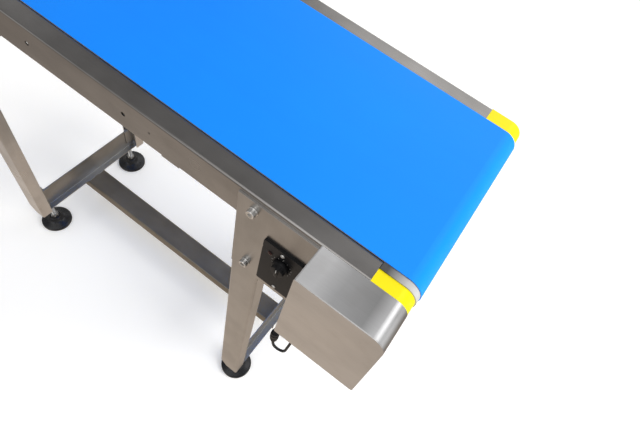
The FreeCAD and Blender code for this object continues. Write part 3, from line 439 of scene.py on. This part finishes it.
def knob():
    """Fluted speed knob with a skirt and a raised grip bar."""
    x, z = middle_xz("speed_knob")
    back = panel_face() - 0.0006
    flutes = ribbed(18, 0.018)
    mesh = bmesh.new()
    add_rings(mesh, [(0.0030, -0.0080), (0.0030, 0.0), (0.0126, 0.0), (0.0130, 0.0005), (0.0130, 0.0030),
                     (0.0127, 0.0045), (0.0119, 0.0056), (0.0107, 0.0060), (0.0105, 0.0064, flutes),
                     (0.0103, 0.0098, flutes), (0.0100, 0.0104), (0.0094, 0.0109), (0.0085, 0.0110)],
              (0, -1, 0), (x, back, z), KNOB_STEPS)
    add_block(mesh, (x, back - 0.0088, z), PANEL_AXES, (0.0026, 0.0042, 0.0101), 0.0008)
    return finish_piece(mesh, "speed_dial", "speed_knob", ["speed_knob"])


def knob_line():
    """Pale pointer line let into the grip bar."""
    x, z = middle_xz("speed_knob")
    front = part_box("speed_knob")[0][1]
    mesh = bmesh.new()
    add_block(mesh, (x, front - 0.00005, z + 0.0056), PANEL_AXES, (0.0005, 0.0002, 0.0042), 0.00015)
    return finish_piece(mesh, "dial_pointer", "speed_knob")


SCALE_TICKS, SCALE_START, SCALE_STEP = 11, 225, 27      # start and step in degrees
SCALE_RADIUS = 0.0146


def dial_scale():
    """Plain raised scale ticks round the knob, with no figures."""
    x, z = middle_xz("speed_knob")
    face = panel_face()
    mesh = bmesh.new()
    for step in range(SCALE_TICKS):
        angle = math.radians(SCALE_START - SCALE_STEP * step)
        out = Vector((math.cos(angle), 0, math.sin(angle)))
        across = Vector((-math.sin(angle), 0, math.cos(angle)))
        reach = 0.0010 if step % 5 else 0.0016
        add_block(mesh, Vector((x, face - 0.00008, z)) + out * (SCALE_RADIUS + reach), (out, (0, 1, 0), across),
                  (reach, 0.0001, 0.00022), 0.00004)
    return finish_piece(mesh, "dial_scale", "frame")


def lamp():
    """Pilot lamp: a thin bezel and a low domed lens."""
    x, z = middle_xz("pilot_lamp")
    rows = [(0.0026, -0.004), (0.0026, 0.0), (0.0034, 0.0), (0.0036, 0.0002), (0.0036, 0.0006), (0.0033, 0.0008),
            (0.0026, 0.0008), (0.0025, 0.0010), (0.0022, 0.0014), (0.0014, 0.0018), (0.0006, 0.0019)]
    mesh = bmesh.new()
    add_rings(mesh, rows, (0, -1, 0), (x, panel_face(), z))
    return finish_piece(mesh, "pilot_lens", "frame", ["pilot_lamp"])


WELD_RIPPLE = 0.0018        # one ripple of a weld bead


def bead_rows(length, radius):
    """Rippled weld bead."""
    rows = [(radius * 0.3, 0.0)]
    count = int(length / WELD_RIPPLE)
    for step in range(count * 4):
        along = length * (step + 0.5) / (count * 4)
        rows.append((radius * (0.86 + 0.14 * math.cos(2 * math.pi * step / 4)), along))
    return rows + [(radius * 0.3, length)]


def weld_beads():
    """Fillets where the stretcher meets the cross members, and on the foot plates and the leg brackets."""
    mesh = bmesh.new()
    low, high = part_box("stretcher")
    bead = bead_rows(0.018, 0.0017)
    for member in sorted(islands("cross_members"), key=lambda box: box[0].x):
        for x in (member[0].x, member[1].x):
            if low[0] - 0.002 < x < high[0] + 0.002:
                for y in (low[1] + 0.004, high[1] - 0.022):
                    add_rings(mesh, bead, (0, 1, 0), (x, y, high[2] - 0.0003), BEAD_STEPS)
    bead = bead_rows(0.016, 0.0015)
    for low, high in islands("foot_plates"):
        side = -1 if low.y < 0 else 1
        outer = max(abs(low.y), abs(high.y)) * side
        for x in (low.x + 0.006, high.x - 0.022):
            add_rings(mesh, bead, (1, 0, 0), (x, outer - side * 0.0004, high.z + 0.0002), BEAD_STEPS)
    bead = bead_rows(0.018, 0.0014)
    for low, high in islands("cross_brackets"):
        side = -1 if low.y < 0 else 1
        outer = (low.y if side < 0 else high.y) - side * 0.0006
        for z in (low.z + 0.006, high.z - 0.024):
            add_rings(mesh, bead, (0, 0, 1), (high.x - 0.0002, outer, z), BEAD_STEPS)
    return finish_piece(mesh, "weld_beads", "frame")


def box_screws():
    """Screws in the terminal box's lid and in the gearbox flange."""
    mesh = bmesh.new()
    low, high = min(islands("motor_covers"), key=lambda box: box[0].z)
    for x in (low.x + 0.005, high.x - 0.005):
        for y in (low.y + 0.005, high.y - 0.005):
            add_rings(mesh, button_rows(0.0026, 0.0014, 0.0013), (0, 0, -1), (x, y, low.z), SMALL_STEPS)
    low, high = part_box("gearbox")
    for x in (low[0] + 0.008, high[0] - 0.008):
        for z in (low[2] + 0.008, high[2] - 0.008):
            add_rings(mesh, cap_screw_rows(0.0045, 0.0045, 0.0024), (0, 1, 0), (x, high[1], z))
    return finish_piece(mesh, "drive_screws", "frame")


screw_heads = leg_screws()
panel_screws = small_screw_heads()
tension_screws = [take_up_screw(side) for side in ("near", "far")]
feet = [foot(end, side) for end in ("front", "rear") for side in ("near", "far")]
nuts = lock_nut_set()
cable_glands = glands()
dial = knob()
pointer = knob_line()
scale_ticks = dial_scale()
lens = lamp()
beads = weld_beads()
drive_screws = box_screws()

# ---- materials


def new_material(name, colour, roughness, metallic=0.0):
    """A plain Principled material; returns it with its tree and its shader."""
    material = bpy.data.materials.new(name)
    material.use_nodes = True
    tree = material.node_tree
    shader = tree.nodes["Principled BSDF"]
    shader.inputs["Base Color"].default_value = (*colour, 1.0)
    shader.inputs["Roughness"].default_value = roughness
    shader.inputs["Metallic"].default_value = metallic
    material.diffuse_color = (*colour, 1.0)
    return material, tree, shader


def noise(tree, scale, detail=4.0, rough=0.5, stretch=(1.0, 1.0, 1.0)):
    """Noise in the object's own metres, stretched per axis."""
    place = tree.nodes.new("ShaderNodeTexCoord")
    mapping = tree.nodes.new("ShaderNodeMapping")
    mapping.inputs["Scale"].default_value = stretch
    texture = tree.nodes.new("ShaderNodeTexNoise")
    texture.inputs["Scale"].default_value = scale
    texture.inputs["Detail"].default_value = detail
    texture.inputs["Roughness"].default_value = rough
    tree.links.new(place.outputs["Object"], mapping.inputs["Vector"])
    tree.links.new(mapping.outputs["Vector"], texture.inputs["Vector"])
    return texture.outputs["Fac"]


def ramp(tree, value, low, high, start=0.3, end=0.7):
    """Two colours mixed by a value."""
    node = tree.nodes.new("ShaderNodeValToRGB")
    node.color_ramp.elements[0].position = start
    node.color_ramp.elements[1].position = end
    node.color_ramp.elements[0].color = (*low, 1.0)
    node.color_ramp.elements[1].color = (*high, 1.0)
    tree.links.new(value, node.inputs["Fac"])
    return node.outputs["Color"]


def spread(tree, value, low, high, start=0.3, end=0.7):
    """A value from one range spread over another."""
    node = tree.nodes.new("ShaderNodeMapRange")
    node.inputs["From Min"].default_value = start
    node.inputs["From Max"].default_value = end
    node.inputs["To Min"].default_value = low
    node.inputs["To Max"].default_value = high
    tree.links.new(value, node.inputs["Value"])
    return node.outputs["Result"]


def mixed(tree, blend, first, second, factor=1.0):
    """Two colours blended; the factor is a number or a socket."""
    node = tree.nodes.new("ShaderNodeMix")
    node.data_type = "RGBA"
    node.blend_type = blend
    if isinstance(factor, float):
        node.inputs["Factor"].default_value = factor
    else:
        tree.links.new(factor, node.inputs["Factor"])
    for socket, value in ((node.inputs[6], first), (node.inputs[7], second)):
        if isinstance(value, tuple):
            socket.default_value = (*value, 1.0)
        else:
            tree.links.new(value, socket)
    return node.outputs[2]


def arithmetic(tree, operation, first, second=0.0):
    """One Math node; its terms are numbers or sockets."""
    node = tree.nodes.new("ShaderNodeMath")
    node.operation = operation
    for socket, value in zip(node.inputs, (first, second)):
        if isinstance(value, float):
            socket.default_value = value
        else:
            tree.links.new(value, socket)
    return node.outputs["Value"]


def relief(tree, shader, value, depth, strength, edge=0.0005):
    """Fine relief on top of softened edges."""
    soft = tree.nodes.new("ShaderNodeBevel")
    soft.samples = 4
    soft.inputs["Radius"].default_value = edge
    node = tree.nodes.new("ShaderNodeBump")
    node.inputs["Strength"].default_value = strength
    node.inputs["Distance"].default_value = depth
    tree.links.new(value, node.inputs["Height"])
    tree.links.new(soft.outputs["Normal"], node.inputs["Normal"])
    tree.links.new(node.outputs["Normal"], shader.inputs["Normal"])


# stretch of the noise along a brushing direction: for its fine lines, and for its painted reflection streaks
GRAIN = {"X": (0.02, 1.0, 1.0), "Y": (1.0, 0.02, 1.0), "Z": (1.0, 1.0, 0.02)}
REFLECTION_STREAK = {"X": (0.5, 1.0, 1.0), "Y": (1.0, 0.5, 1.0), "Z": (1.0, 1.0, 0.5)}
WHITE = (1.0, 1.0, 1.0)
BRUSH_LINES = 1500.0


def brushed(name, colour, axis, roughness, contrast=0.07, depth=0.16):
    """Brushed stainless sheet: fine lines along one axis, faint handling marks, and painted reflection: soft darker
    streaks along the brushing.

    contrast is the slow change of its colour, and depth how dark the painted reflection streaks are.
    """
    material, tree, shader = new_material(name, colour, roughness, 1.0)
    fine = noise(tree, BRUSH_LINES, 3.0, 0.6, GRAIN[axis])
    clouds = noise(tree, 9.0, 4.0, 0.55)
    marks = noise(tree, 30.0, 4.0, 0.6)
    dark = tuple(c * (1 - contrast) for c in colour)
    light = tuple(min(1.0, c * (1 + contrast)) for c in colour)
    lines = ramp(tree, fine, (0.94, 0.94, 0.94), WHITE)
    worn = mixed(tree, "MULTIPLY", ramp(tree, clouds, dark, light), lines)
    worn = mixed(tree, "MULTIPLY", worn, ramp(tree, marks, (0.965, 0.962, 0.958), WHITE, 0.36, 0.5))
    # painted reflection: soft darker streaks along the brushing stand in for reflected dark bands
    painted_reflection_streaks = noise(tree, 24.0, 2.0, 0.4, REFLECTION_STREAK[axis])
    shade = 1 - depth
    worn = mixed(tree, "MULTIPLY", worn, ramp(tree, painted_reflection_streaks, (shade, shade, shade), WHITE, 0.36, 0.64))
    tree.links.new(worn, shader.inputs["Base Color"])
    tree.links.new(spread(tree, clouds, roughness * 0.88, roughness * 1.15), shader.inputs["Roughness"])
    relief(tree, shader, fine, 0.00002, 0.35)
    return material


def paint_light_and_shade_along(material, low, high, stops):
    """Paints light and shade into a finish along X, from one end of a box to the other; stops are (place, grey)."""
    tree = material.node_tree
    shader = tree.nodes["Principled BSDF"]
    base = shader.inputs["Base Color"].links[0].from_socket
    place = tree.nodes.new("ShaderNodeTexCoord")
    split = tree.nodes.new("ShaderNodeSeparateXYZ")
    tree.links.new(place.outputs["Object"], split.inputs["Vector"])
    along = spread(tree, split.outputs["X"], 0.0, 1.0, low[0], high[0])
    shade = tree.nodes.new("ShaderNodeValToRGB")
    elements = shade.color_ramp.elements
    while len(elements) < len(stops):
        elements.new(0.5)
    for element, (position, grey) in zip(elements, stops):
        element.position = position
        element.color = (grey, grey, grey, 1.0)
    tree.links.new(along, shade.inputs["Fac"])
    tree.links.new(mixed(tree, "MULTIPLY", base, shade.outputs["Color"]), shader.inputs["Base Color"])


def turned(name, colour, roughness, axis="Y"):
    """Machined or plated steel with faint turning marks round its axis."""
    material, tree, shader = new_material(name, colour, roughness, 1.0)
    stretch = {"X": (1.0, 0.08, 0.08), "Y": (0.08, 1.0, 0.08), "Z": (0.08, 0.08, 1.0)}[axis]
    fine = noise(tree, 1300.0, 2.0, 0.5, stretch)
    clouds = noise(tree, 40.0, 3.0)
    light = tuple(min(1.0, c * 1.06) for c in colour)
    dark = tuple(c * 0.82 for c in colour)
    tree.links.new(ramp(tree, clouds, dark, light), shader.inputs["Base Color"])
    tree.links.new(spread(tree, fine, roughness * 0.7, roughness * 1.4), shader.inputs["Roughness"])
    relief(tree, shader, fine, 0.00003, 0.4, 0.0003)
    return material


def moulded(name, colour, roughness, grain=1400.0, depth=0.00006):
    """Moulded plastic or rubber with a fine spark-eroded grain, a little dusty."""
    material, tree, shader = new_material(name, colour, roughness)
    fine = noise(tree, grain, 3.0, 0.6)
    clouds = noise(tree, 30.0, 4.0)
    light = tuple(min(1.0, c * 1.35 + 0.002) for c in colour)
    tree.links.new(ramp(tree, clouds, colour, light), shader.inputs["Base Color"])
    tree.links.new(spread(tree, fine, roughness * 0.85, roughness * 1.2), shader.inputs["Roughness"])
    relief(tree, shader, fine, depth, 0.6, 0.0004)
    return material


def enamel(name, colour, roughness):
    """Smooth sprayed or moulded colour with slight orange peel."""
    material, tree, shader = new_material(name, colour, roughness)
    peel = noise(tree, 500.0, 2.0, 0.5)
    clouds = noise(tree, 25.0, 4.0)
    dark = tuple(c * 0.94 for c in colour)
    tree.links.new(ramp(tree, clouds, dark, colour), shader.inputs["Base Color"])
    tree.links.new(spread(tree, clouds, roughness * 0.85, roughness * 1.2), shader.inputs["Roughness"])
    shader.inputs["Coat Weight"].default_value = 0.06
    shader.inputs["Specular IOR Level"].default_value = 0.3
    shader.inputs["Coat Roughness"].default_value = 0.15
    relief(tree, shader, peel, 0.00004, 0.3, 0.0008)
    return material


def belt_cover(name, colour, cloth):
    """Polyurethane belt: matt cover outside with a cloth weave that just shows, bare cloth inside, and painted shade
    darker toward the tail end.
    """
    material, tree, shader = new_material(name, colour, 0.42)
    low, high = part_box("conveyor_belt")
    drum_z = (low[2] + high[2]) / 2
    radius = (high[2] - low[2]) / 2
    reach = (high[0] - low[0]) / 2 - radius
    place = tree.nodes.new("ShaderNodeTexCoord")
    split = tree.nodes.new("ShaderNodeSeparateXYZ")
    tree.links.new(place.outputs["Object"], split.inputs["Vector"])
    heights = []
    for turn in ("X", "Y"):
        wave = tree.nodes.new("ShaderNodeTexWave")
        wave.wave_type = "BANDS"
        wave.bands_direction = turn
        wave.inputs["Scale"].default_value = 380.0
        wave.inputs["Distortion"].default_value = 0.6
        wave.inputs["Detail"].default_value = 1.0
        tree.links.new(place.outputs["Object"], wave.inputs["Vector"])
        heights.append(wave.outputs["Fac"])
    weave = arithmetic(tree, "MULTIPLY", heights[0], heights[1])
    length = arithmetic(tree, "ABSOLUTE", split.outputs["X"])
    past = arithmetic(tree, "MAXIMUM", arithmetic(tree, "SUBTRACT", length, reach), 0.0)
    rise = arithmetic(tree, "SUBTRACT", split.outputs["Z"], drum_z)
    past_squared = arithmetic(tree, "MULTIPLY", past, past)
    rise_squared = arithmetic(tree, "MULTIPLY", rise, rise)
    outward = arithmetic(tree, "SQRT", arithmetic(tree, "ADD", past_squared, rise_squared))
    outside = spread(tree, outward, 0.0, 1.0, radius - 0.0012, radius - 0.0009)
    clouds = noise(tree, 6.0, 5.0, 0.6)
    scuffs = noise(tree, 26.0, 6.0, 0.65, (0.12, 1.0, 1.0))
    dark = tuple(c * 0.95 for c in colour)
    worn = ramp(tree, scuffs, (0.965, 0.975, 0.99), WHITE, 0.3, 0.52)
    cover = mixed(tree, "MULTIPLY", ramp(tree, clouds, dark, colour), worn)
    # painted shade: the belt's cover darkens toward the tail end and is lightest at the head
    along = spread(tree, split.outputs["X"], 0.0, 1.0, low[0], high[0])
    cover = mixed(tree, "MULTIPLY", cover, ramp(tree, along, (0.80, 0.84, 0.90), WHITE, 0.35, 0.85))
    tree.links.new(mixed(tree, "MIX", cloth, cover, outside), shader.inputs["Base Color"])
    tree.links.new(spread(tree, clouds, 0.38, 0.5), shader.inputs["Roughness"])
    shader.inputs["Specular IOR Level"].default_value = 0.28
    relief(tree, shader, weave, 0.00004, 0.25, 0.0004)
    return material


def same_all_over(material, socket, value):
    """A value that is the same all over, set on the shader's own socket."""
    material.node_tree.nodes["Principled BSDF"].inputs[socket].default_value = value


# The stainless is one steel; these brushed steels differ in base colour part by part (0.33 to 1.0) as painted light
# and shade: lit and shaded copies of one finish.
steel_x = brushed("stainless_x", (0.53, 0.51, 0.49), "X", 0.24)
# painted light and shade along the rails: lighter toward the tail, darker toward the head
paint_light_and_shade_along(steel_x, *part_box("side_rail_near"), [(0.40, 1.0), (0.62, 0.76), (1.0, 0.80)])
steel_y = brushed("stainless_y", (0.50, 0.49, 0.47), "Y", 0.42)
steel_z = brushed("stainless_z", (0.56, 0.545, 0.525), "Z", 0.3)
# painted light: the rear legs get a far lighter base colour than the front legs
steel_rear_painted_light = brushed("stainless_rear_painted_light", (1.0, 0.985, 0.965), "Z", 0.3)
# painted shade: the stretcher gets a dark brown base colour
steel_low_painted_shade = brushed("stainless_low_painted_shade", (0.33, 0.285, 0.22), "X", 0.42)
cover_face_steel = brushed("stainless_cover_face", (0.84, 0.83, 0.82), "X", 0.38, 0.04, 0.08)
cover_band_painted_light = brushed("stainless_cover", (1.0, 0.99, 0.985), "X", 0.36, 0.02, 0.07)
# painted reflection: the cover band is lighter at its rear, darker in the middle, with a bright band at the bend and
# dark at its front
paint_light_and_shade_along(cover_band_painted_light, *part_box("cover_face"),
           [(0.0, 1.0), (0.16, 0.95), (0.36, 0.62), (0.66, 0.46), (0.84, 1.0), (0.91, 0.8), (1.0, 0.25)])
bright = turned("bright_steel", (0.93, 0.92, 0.90), 0.3)
bright_z = turned("bright_steel_upright", (0.72, 0.71, 0.69), 0.22, "Z")
drum_steel = turned("drum_steel", (0.68, 0.67, 0.66), 0.32)
cast = moulded("cast_aluminium", (0.55, 0.56, 0.57), 0.45, 700.0, 0.00012)
same_all_over(cast, "Metallic", 0.9)
motor_paint = enamel("motor_paint", (0.16, 0.18, 0.2), 0.4)
yellow = enamel("yellow_paint", (0.93, 0.77, 0.0), 0.38)
black = moulded("black_plastic", (0.006, 0.006, 0.007), 0.42)
same_all_over(black, "Specular IOR Level", 0.22)
pale = moulded("pale_plastic", (0.50, 0.49, 0.47), 0.45)
plate_grey_painted_shadow = moulded("nose_plate_grey", (0.40, 0.40, 0.39), 0.45)
plate_low, plate_high = max(islands("nose_plates"), key=lambda box: box[1].x)
# painted shadow: the nose plate darkens toward the rail end
paint_light_and_shade_along(plate_grey_painted_shadow, plate_low, plate_high, [(0.15, 0.12), (0.62, 1.0)])
rubber = moulded("black_rubber", (0.012, 0.012, 0.012), 0.5)
pad_black = moulded("pad_black", (0.006, 0.006, 0.007), 0.28, 900.0, 0.00003)
smoky_lens = enamel("lamp_red", (0.03, 0.008, 0.007), 0.12)
blue = belt_cover("belt_blue", (0.001, 0.262, 1.0), (0.52, 0.52, 0.5))

FINISH = {
    steel_x: ["side_rail_near", "side_rail_far", "slider_bed", "drive_plate", "roller_supports"],
    steel_low_painted_shade: ["stretcher"],
    steel_y: ["bed_ties", "upper_ties", "cross_members", "cross_brackets", "foot_plates"],
    steel_z: ["leg_front_near", "leg_front_far"],
    steel_rear_painted_light: ["leg_rear_near", "leg_rear_far"],
    cover_band_painted_light: ["cover_band"],
    cover_face_steel: ["cover_face"],
    bright: ["leg_bolts", "small_screws", "lock_nuts", "take_up_screw_near", "take_up_screw_far", "head_shaft",
             "tail_axle", "output_shaft", "foot_spindle_front_near", "foot_spindle_front_far",
             "foot_spindle_rear_near", "foot_spindle_rear_far", "head_bearings", "tail_bearings"],
    drum_steel: ["head_drum", "tail_drum", "return_roller_1", "return_roller_2", "return_roller_3"],
    cast: ["take_up_blocks", "gearbox", "drive_pulley", "driven_pulley"],
    motor_paint: ["motor_body"],
    yellow: ["head_caps", "tail_caps"],
    plate_grey_painted_shadow: ["nose_plates"],
    black: ["motor_covers", "control_base", "control_lid", "terminal_cover", "speed_knob", "lead_glands",
            "lead_connector"],
    pad_black: ["foot_pad_front_near", "foot_pad_front_far", "foot_pad_rear_near", "foot_pad_rear_far"],
    rubber: ["toothed_belt", "motor_lead_upper", "motor_lead_lower"],
    smoky_lens: ["pilot_lamp"],
    blue: ["conveyor_belt"],
}
PIECE_FINISH = {
    bright: [screw_heads, panel_screws, drive_screws, *tension_screws],
    bright_z: [nuts, *(screw for screw, pad in feet)],
    black: [cable_glands, dial, lead_coupling],
    pale: [pointer, scale_ticks],
    smoky_lens: [lens],
    steel_y: [beads],
    pad_black: [pad for screw, pad in feet],
    rubber: [upper_lead, lower_lead],
}


def dress():
    """Gives each CAD node and each piece its finish."""
    for material, names in FINISH.items():
        for name in names:
            slots = nodes[name].data.materials
            slots.clear()
            slots.append(material)
    for material, pieces in PIECE_FINISH.items():
        for piece in pieces:
            piece.data.materials.append(material)


dress()

# ---- studio


def area_light(name, place, target, size, power):
    """A soft rectangular light that no reflection shows."""
    data = bpy.data.lights.new(name, "AREA")
    data.shape = "RECTANGLE"
    data.size, data.size_y = size
    data.energy = power
    light = bpy.data.objects.new(name, data)
    bpy.context.scene.collection.objects.link(light)
    aim = Vector(target) - Vector(place)
    light.matrix_world = Matrix.Translation(place) @ aim.to_track_quat("-Z", "Y").to_matrix().to_4x4()
    light.visible_glossy = False


FLOOR_HALF = 40.0
FLOOR_COLOUR = (0.96, 0.95, 0.925)
FLOOR_GLOW = 0.13


def add_floor():
    """A plain pale floor that glows a little and that no reflection shows."""
    mesh = bpy.data.meshes.new("floor")
    half = FLOOR_HALF
    corners = [(-half, -half, 0), (half, -half, 0), (half, half, 0), (-half, half, 0)]
    mesh.from_pydata(corners, [], [(0, 1, 2, 3)])
    floor = bpy.data.objects.new("floor", mesh)
    bpy.context.scene.collection.objects.link(floor)
    floor.visible_glossy = False
    material, _, shader = new_material("studio_floor", FLOOR_COLOUR, 0.8)
    shader.inputs["Emission Color"].default_value = (1.0, 0.99, 0.97, 1.0)
    shader.inputs["Emission Strength"].default_value = FLOOR_GLOW
    mesh.materials.append(material)


# colour by the height of a direction, from straight down to straight up
SKY_STOPS = [(-1.0, (0.63, 0.53, 0.44)), (-0.62, (0.24, 0.20, 0.168)), (-0.3, (0.24, 0.22, 0.20)),
             (0.0, (0.46, 0.455, 0.45)), (0.34, (0.50, 0.50, 0.50)), (0.62, (0.21, 0.21, 0.215))]
# soft panels: direction, half angle of the full part and of the whole in degrees, strength
SKY_LOBES = [((0.0, 0.85, 0.53), 8.0, 30.0, 0.85), ((0.97, 0.0, 0.24), 14.0, 30.0, 0.5),
             ((0.42, 0.45, 0.79), 5.0, 17.0, 1.9), ((0.0, -0.20, 0.98), 14.0, 32.0, 0.85),
             ((-0.1, -0.8, 0.6), 8.0, 26.0, 1.0), ((-0.5, -0.2, -0.8), 8.0, 26.0, 0.12)]


def add_world():
    """Light by direction: warm from below, brighter at the horizon, dim above, with soft bright panels."""
    world = bpy.data.worlds.new("studio")
    bpy.context.scene.world = world
    world.use_nodes = True
    tree = world.node_tree
    place = tree.nodes.new("ShaderNodeTexCoord")
    split = tree.nodes.new("ShaderNodeSeparateXYZ")
    tree.links.new(place.outputs["Generated"], split.inputs["Vector"])
    height_shade = tree.nodes.new("ShaderNodeValToRGB")
    stops = height_shade.color_ramp.elements
    while len(stops) < len(SKY_STOPS):
        stops.new(0.5)
    for stop, (height, colour) in zip(stops, SKY_STOPS):
        stop.position = (height + 1.0) / 2
        stop.color = (*colour, 1.0)
    tree.links.new(spread(tree, split.outputs["Z"], 0.0, 1.0, -1.0, 1.0), height_shade.inputs["Fac"])
    total = height_shade.outputs["Color"]
    for direction, inner, outer, power in SKY_LOBES:
        facing = tree.nodes.new("ShaderNodeVectorMath")
        facing.operation = "DOT_PRODUCT"
        facing.inputs[1].default_value = Vector(direction).normalized()
        tree.links.new(place.outputs["Generated"], facing.inputs[0])
        lobe = tree.nodes.new("ShaderNodeMapRange")
        lobe.interpolation_type = "SMOOTHSTEP"
        lobe.inputs["From Min"].default_value = math.cos(math.radians(outer))
        lobe.inputs["From Max"].default_value = math.cos(math.radians(inner))
        lobe.inputs["To Max"].default_value = power
        tree.links.new(facing.outputs["Value"], lobe.inputs["Value"])
        total = mixed(tree, "ADD", total, lobe.outputs["Result"])
    tree.links.new(total, tree.nodes["Background"].inputs["Color"])


add_floor()
add_world()
area_light("overhead", (0.3, 0.3, 6.0), (0.3, 0.25, 0.0), (7.0, 7.0), 138)
area_light("head_end", (3.4, 0.3, 1.6), (0.6, 0.0, 0.8), (2.0, 1.6), 92)
bpy.context.scene.view_settings.view_transform = "Standard"
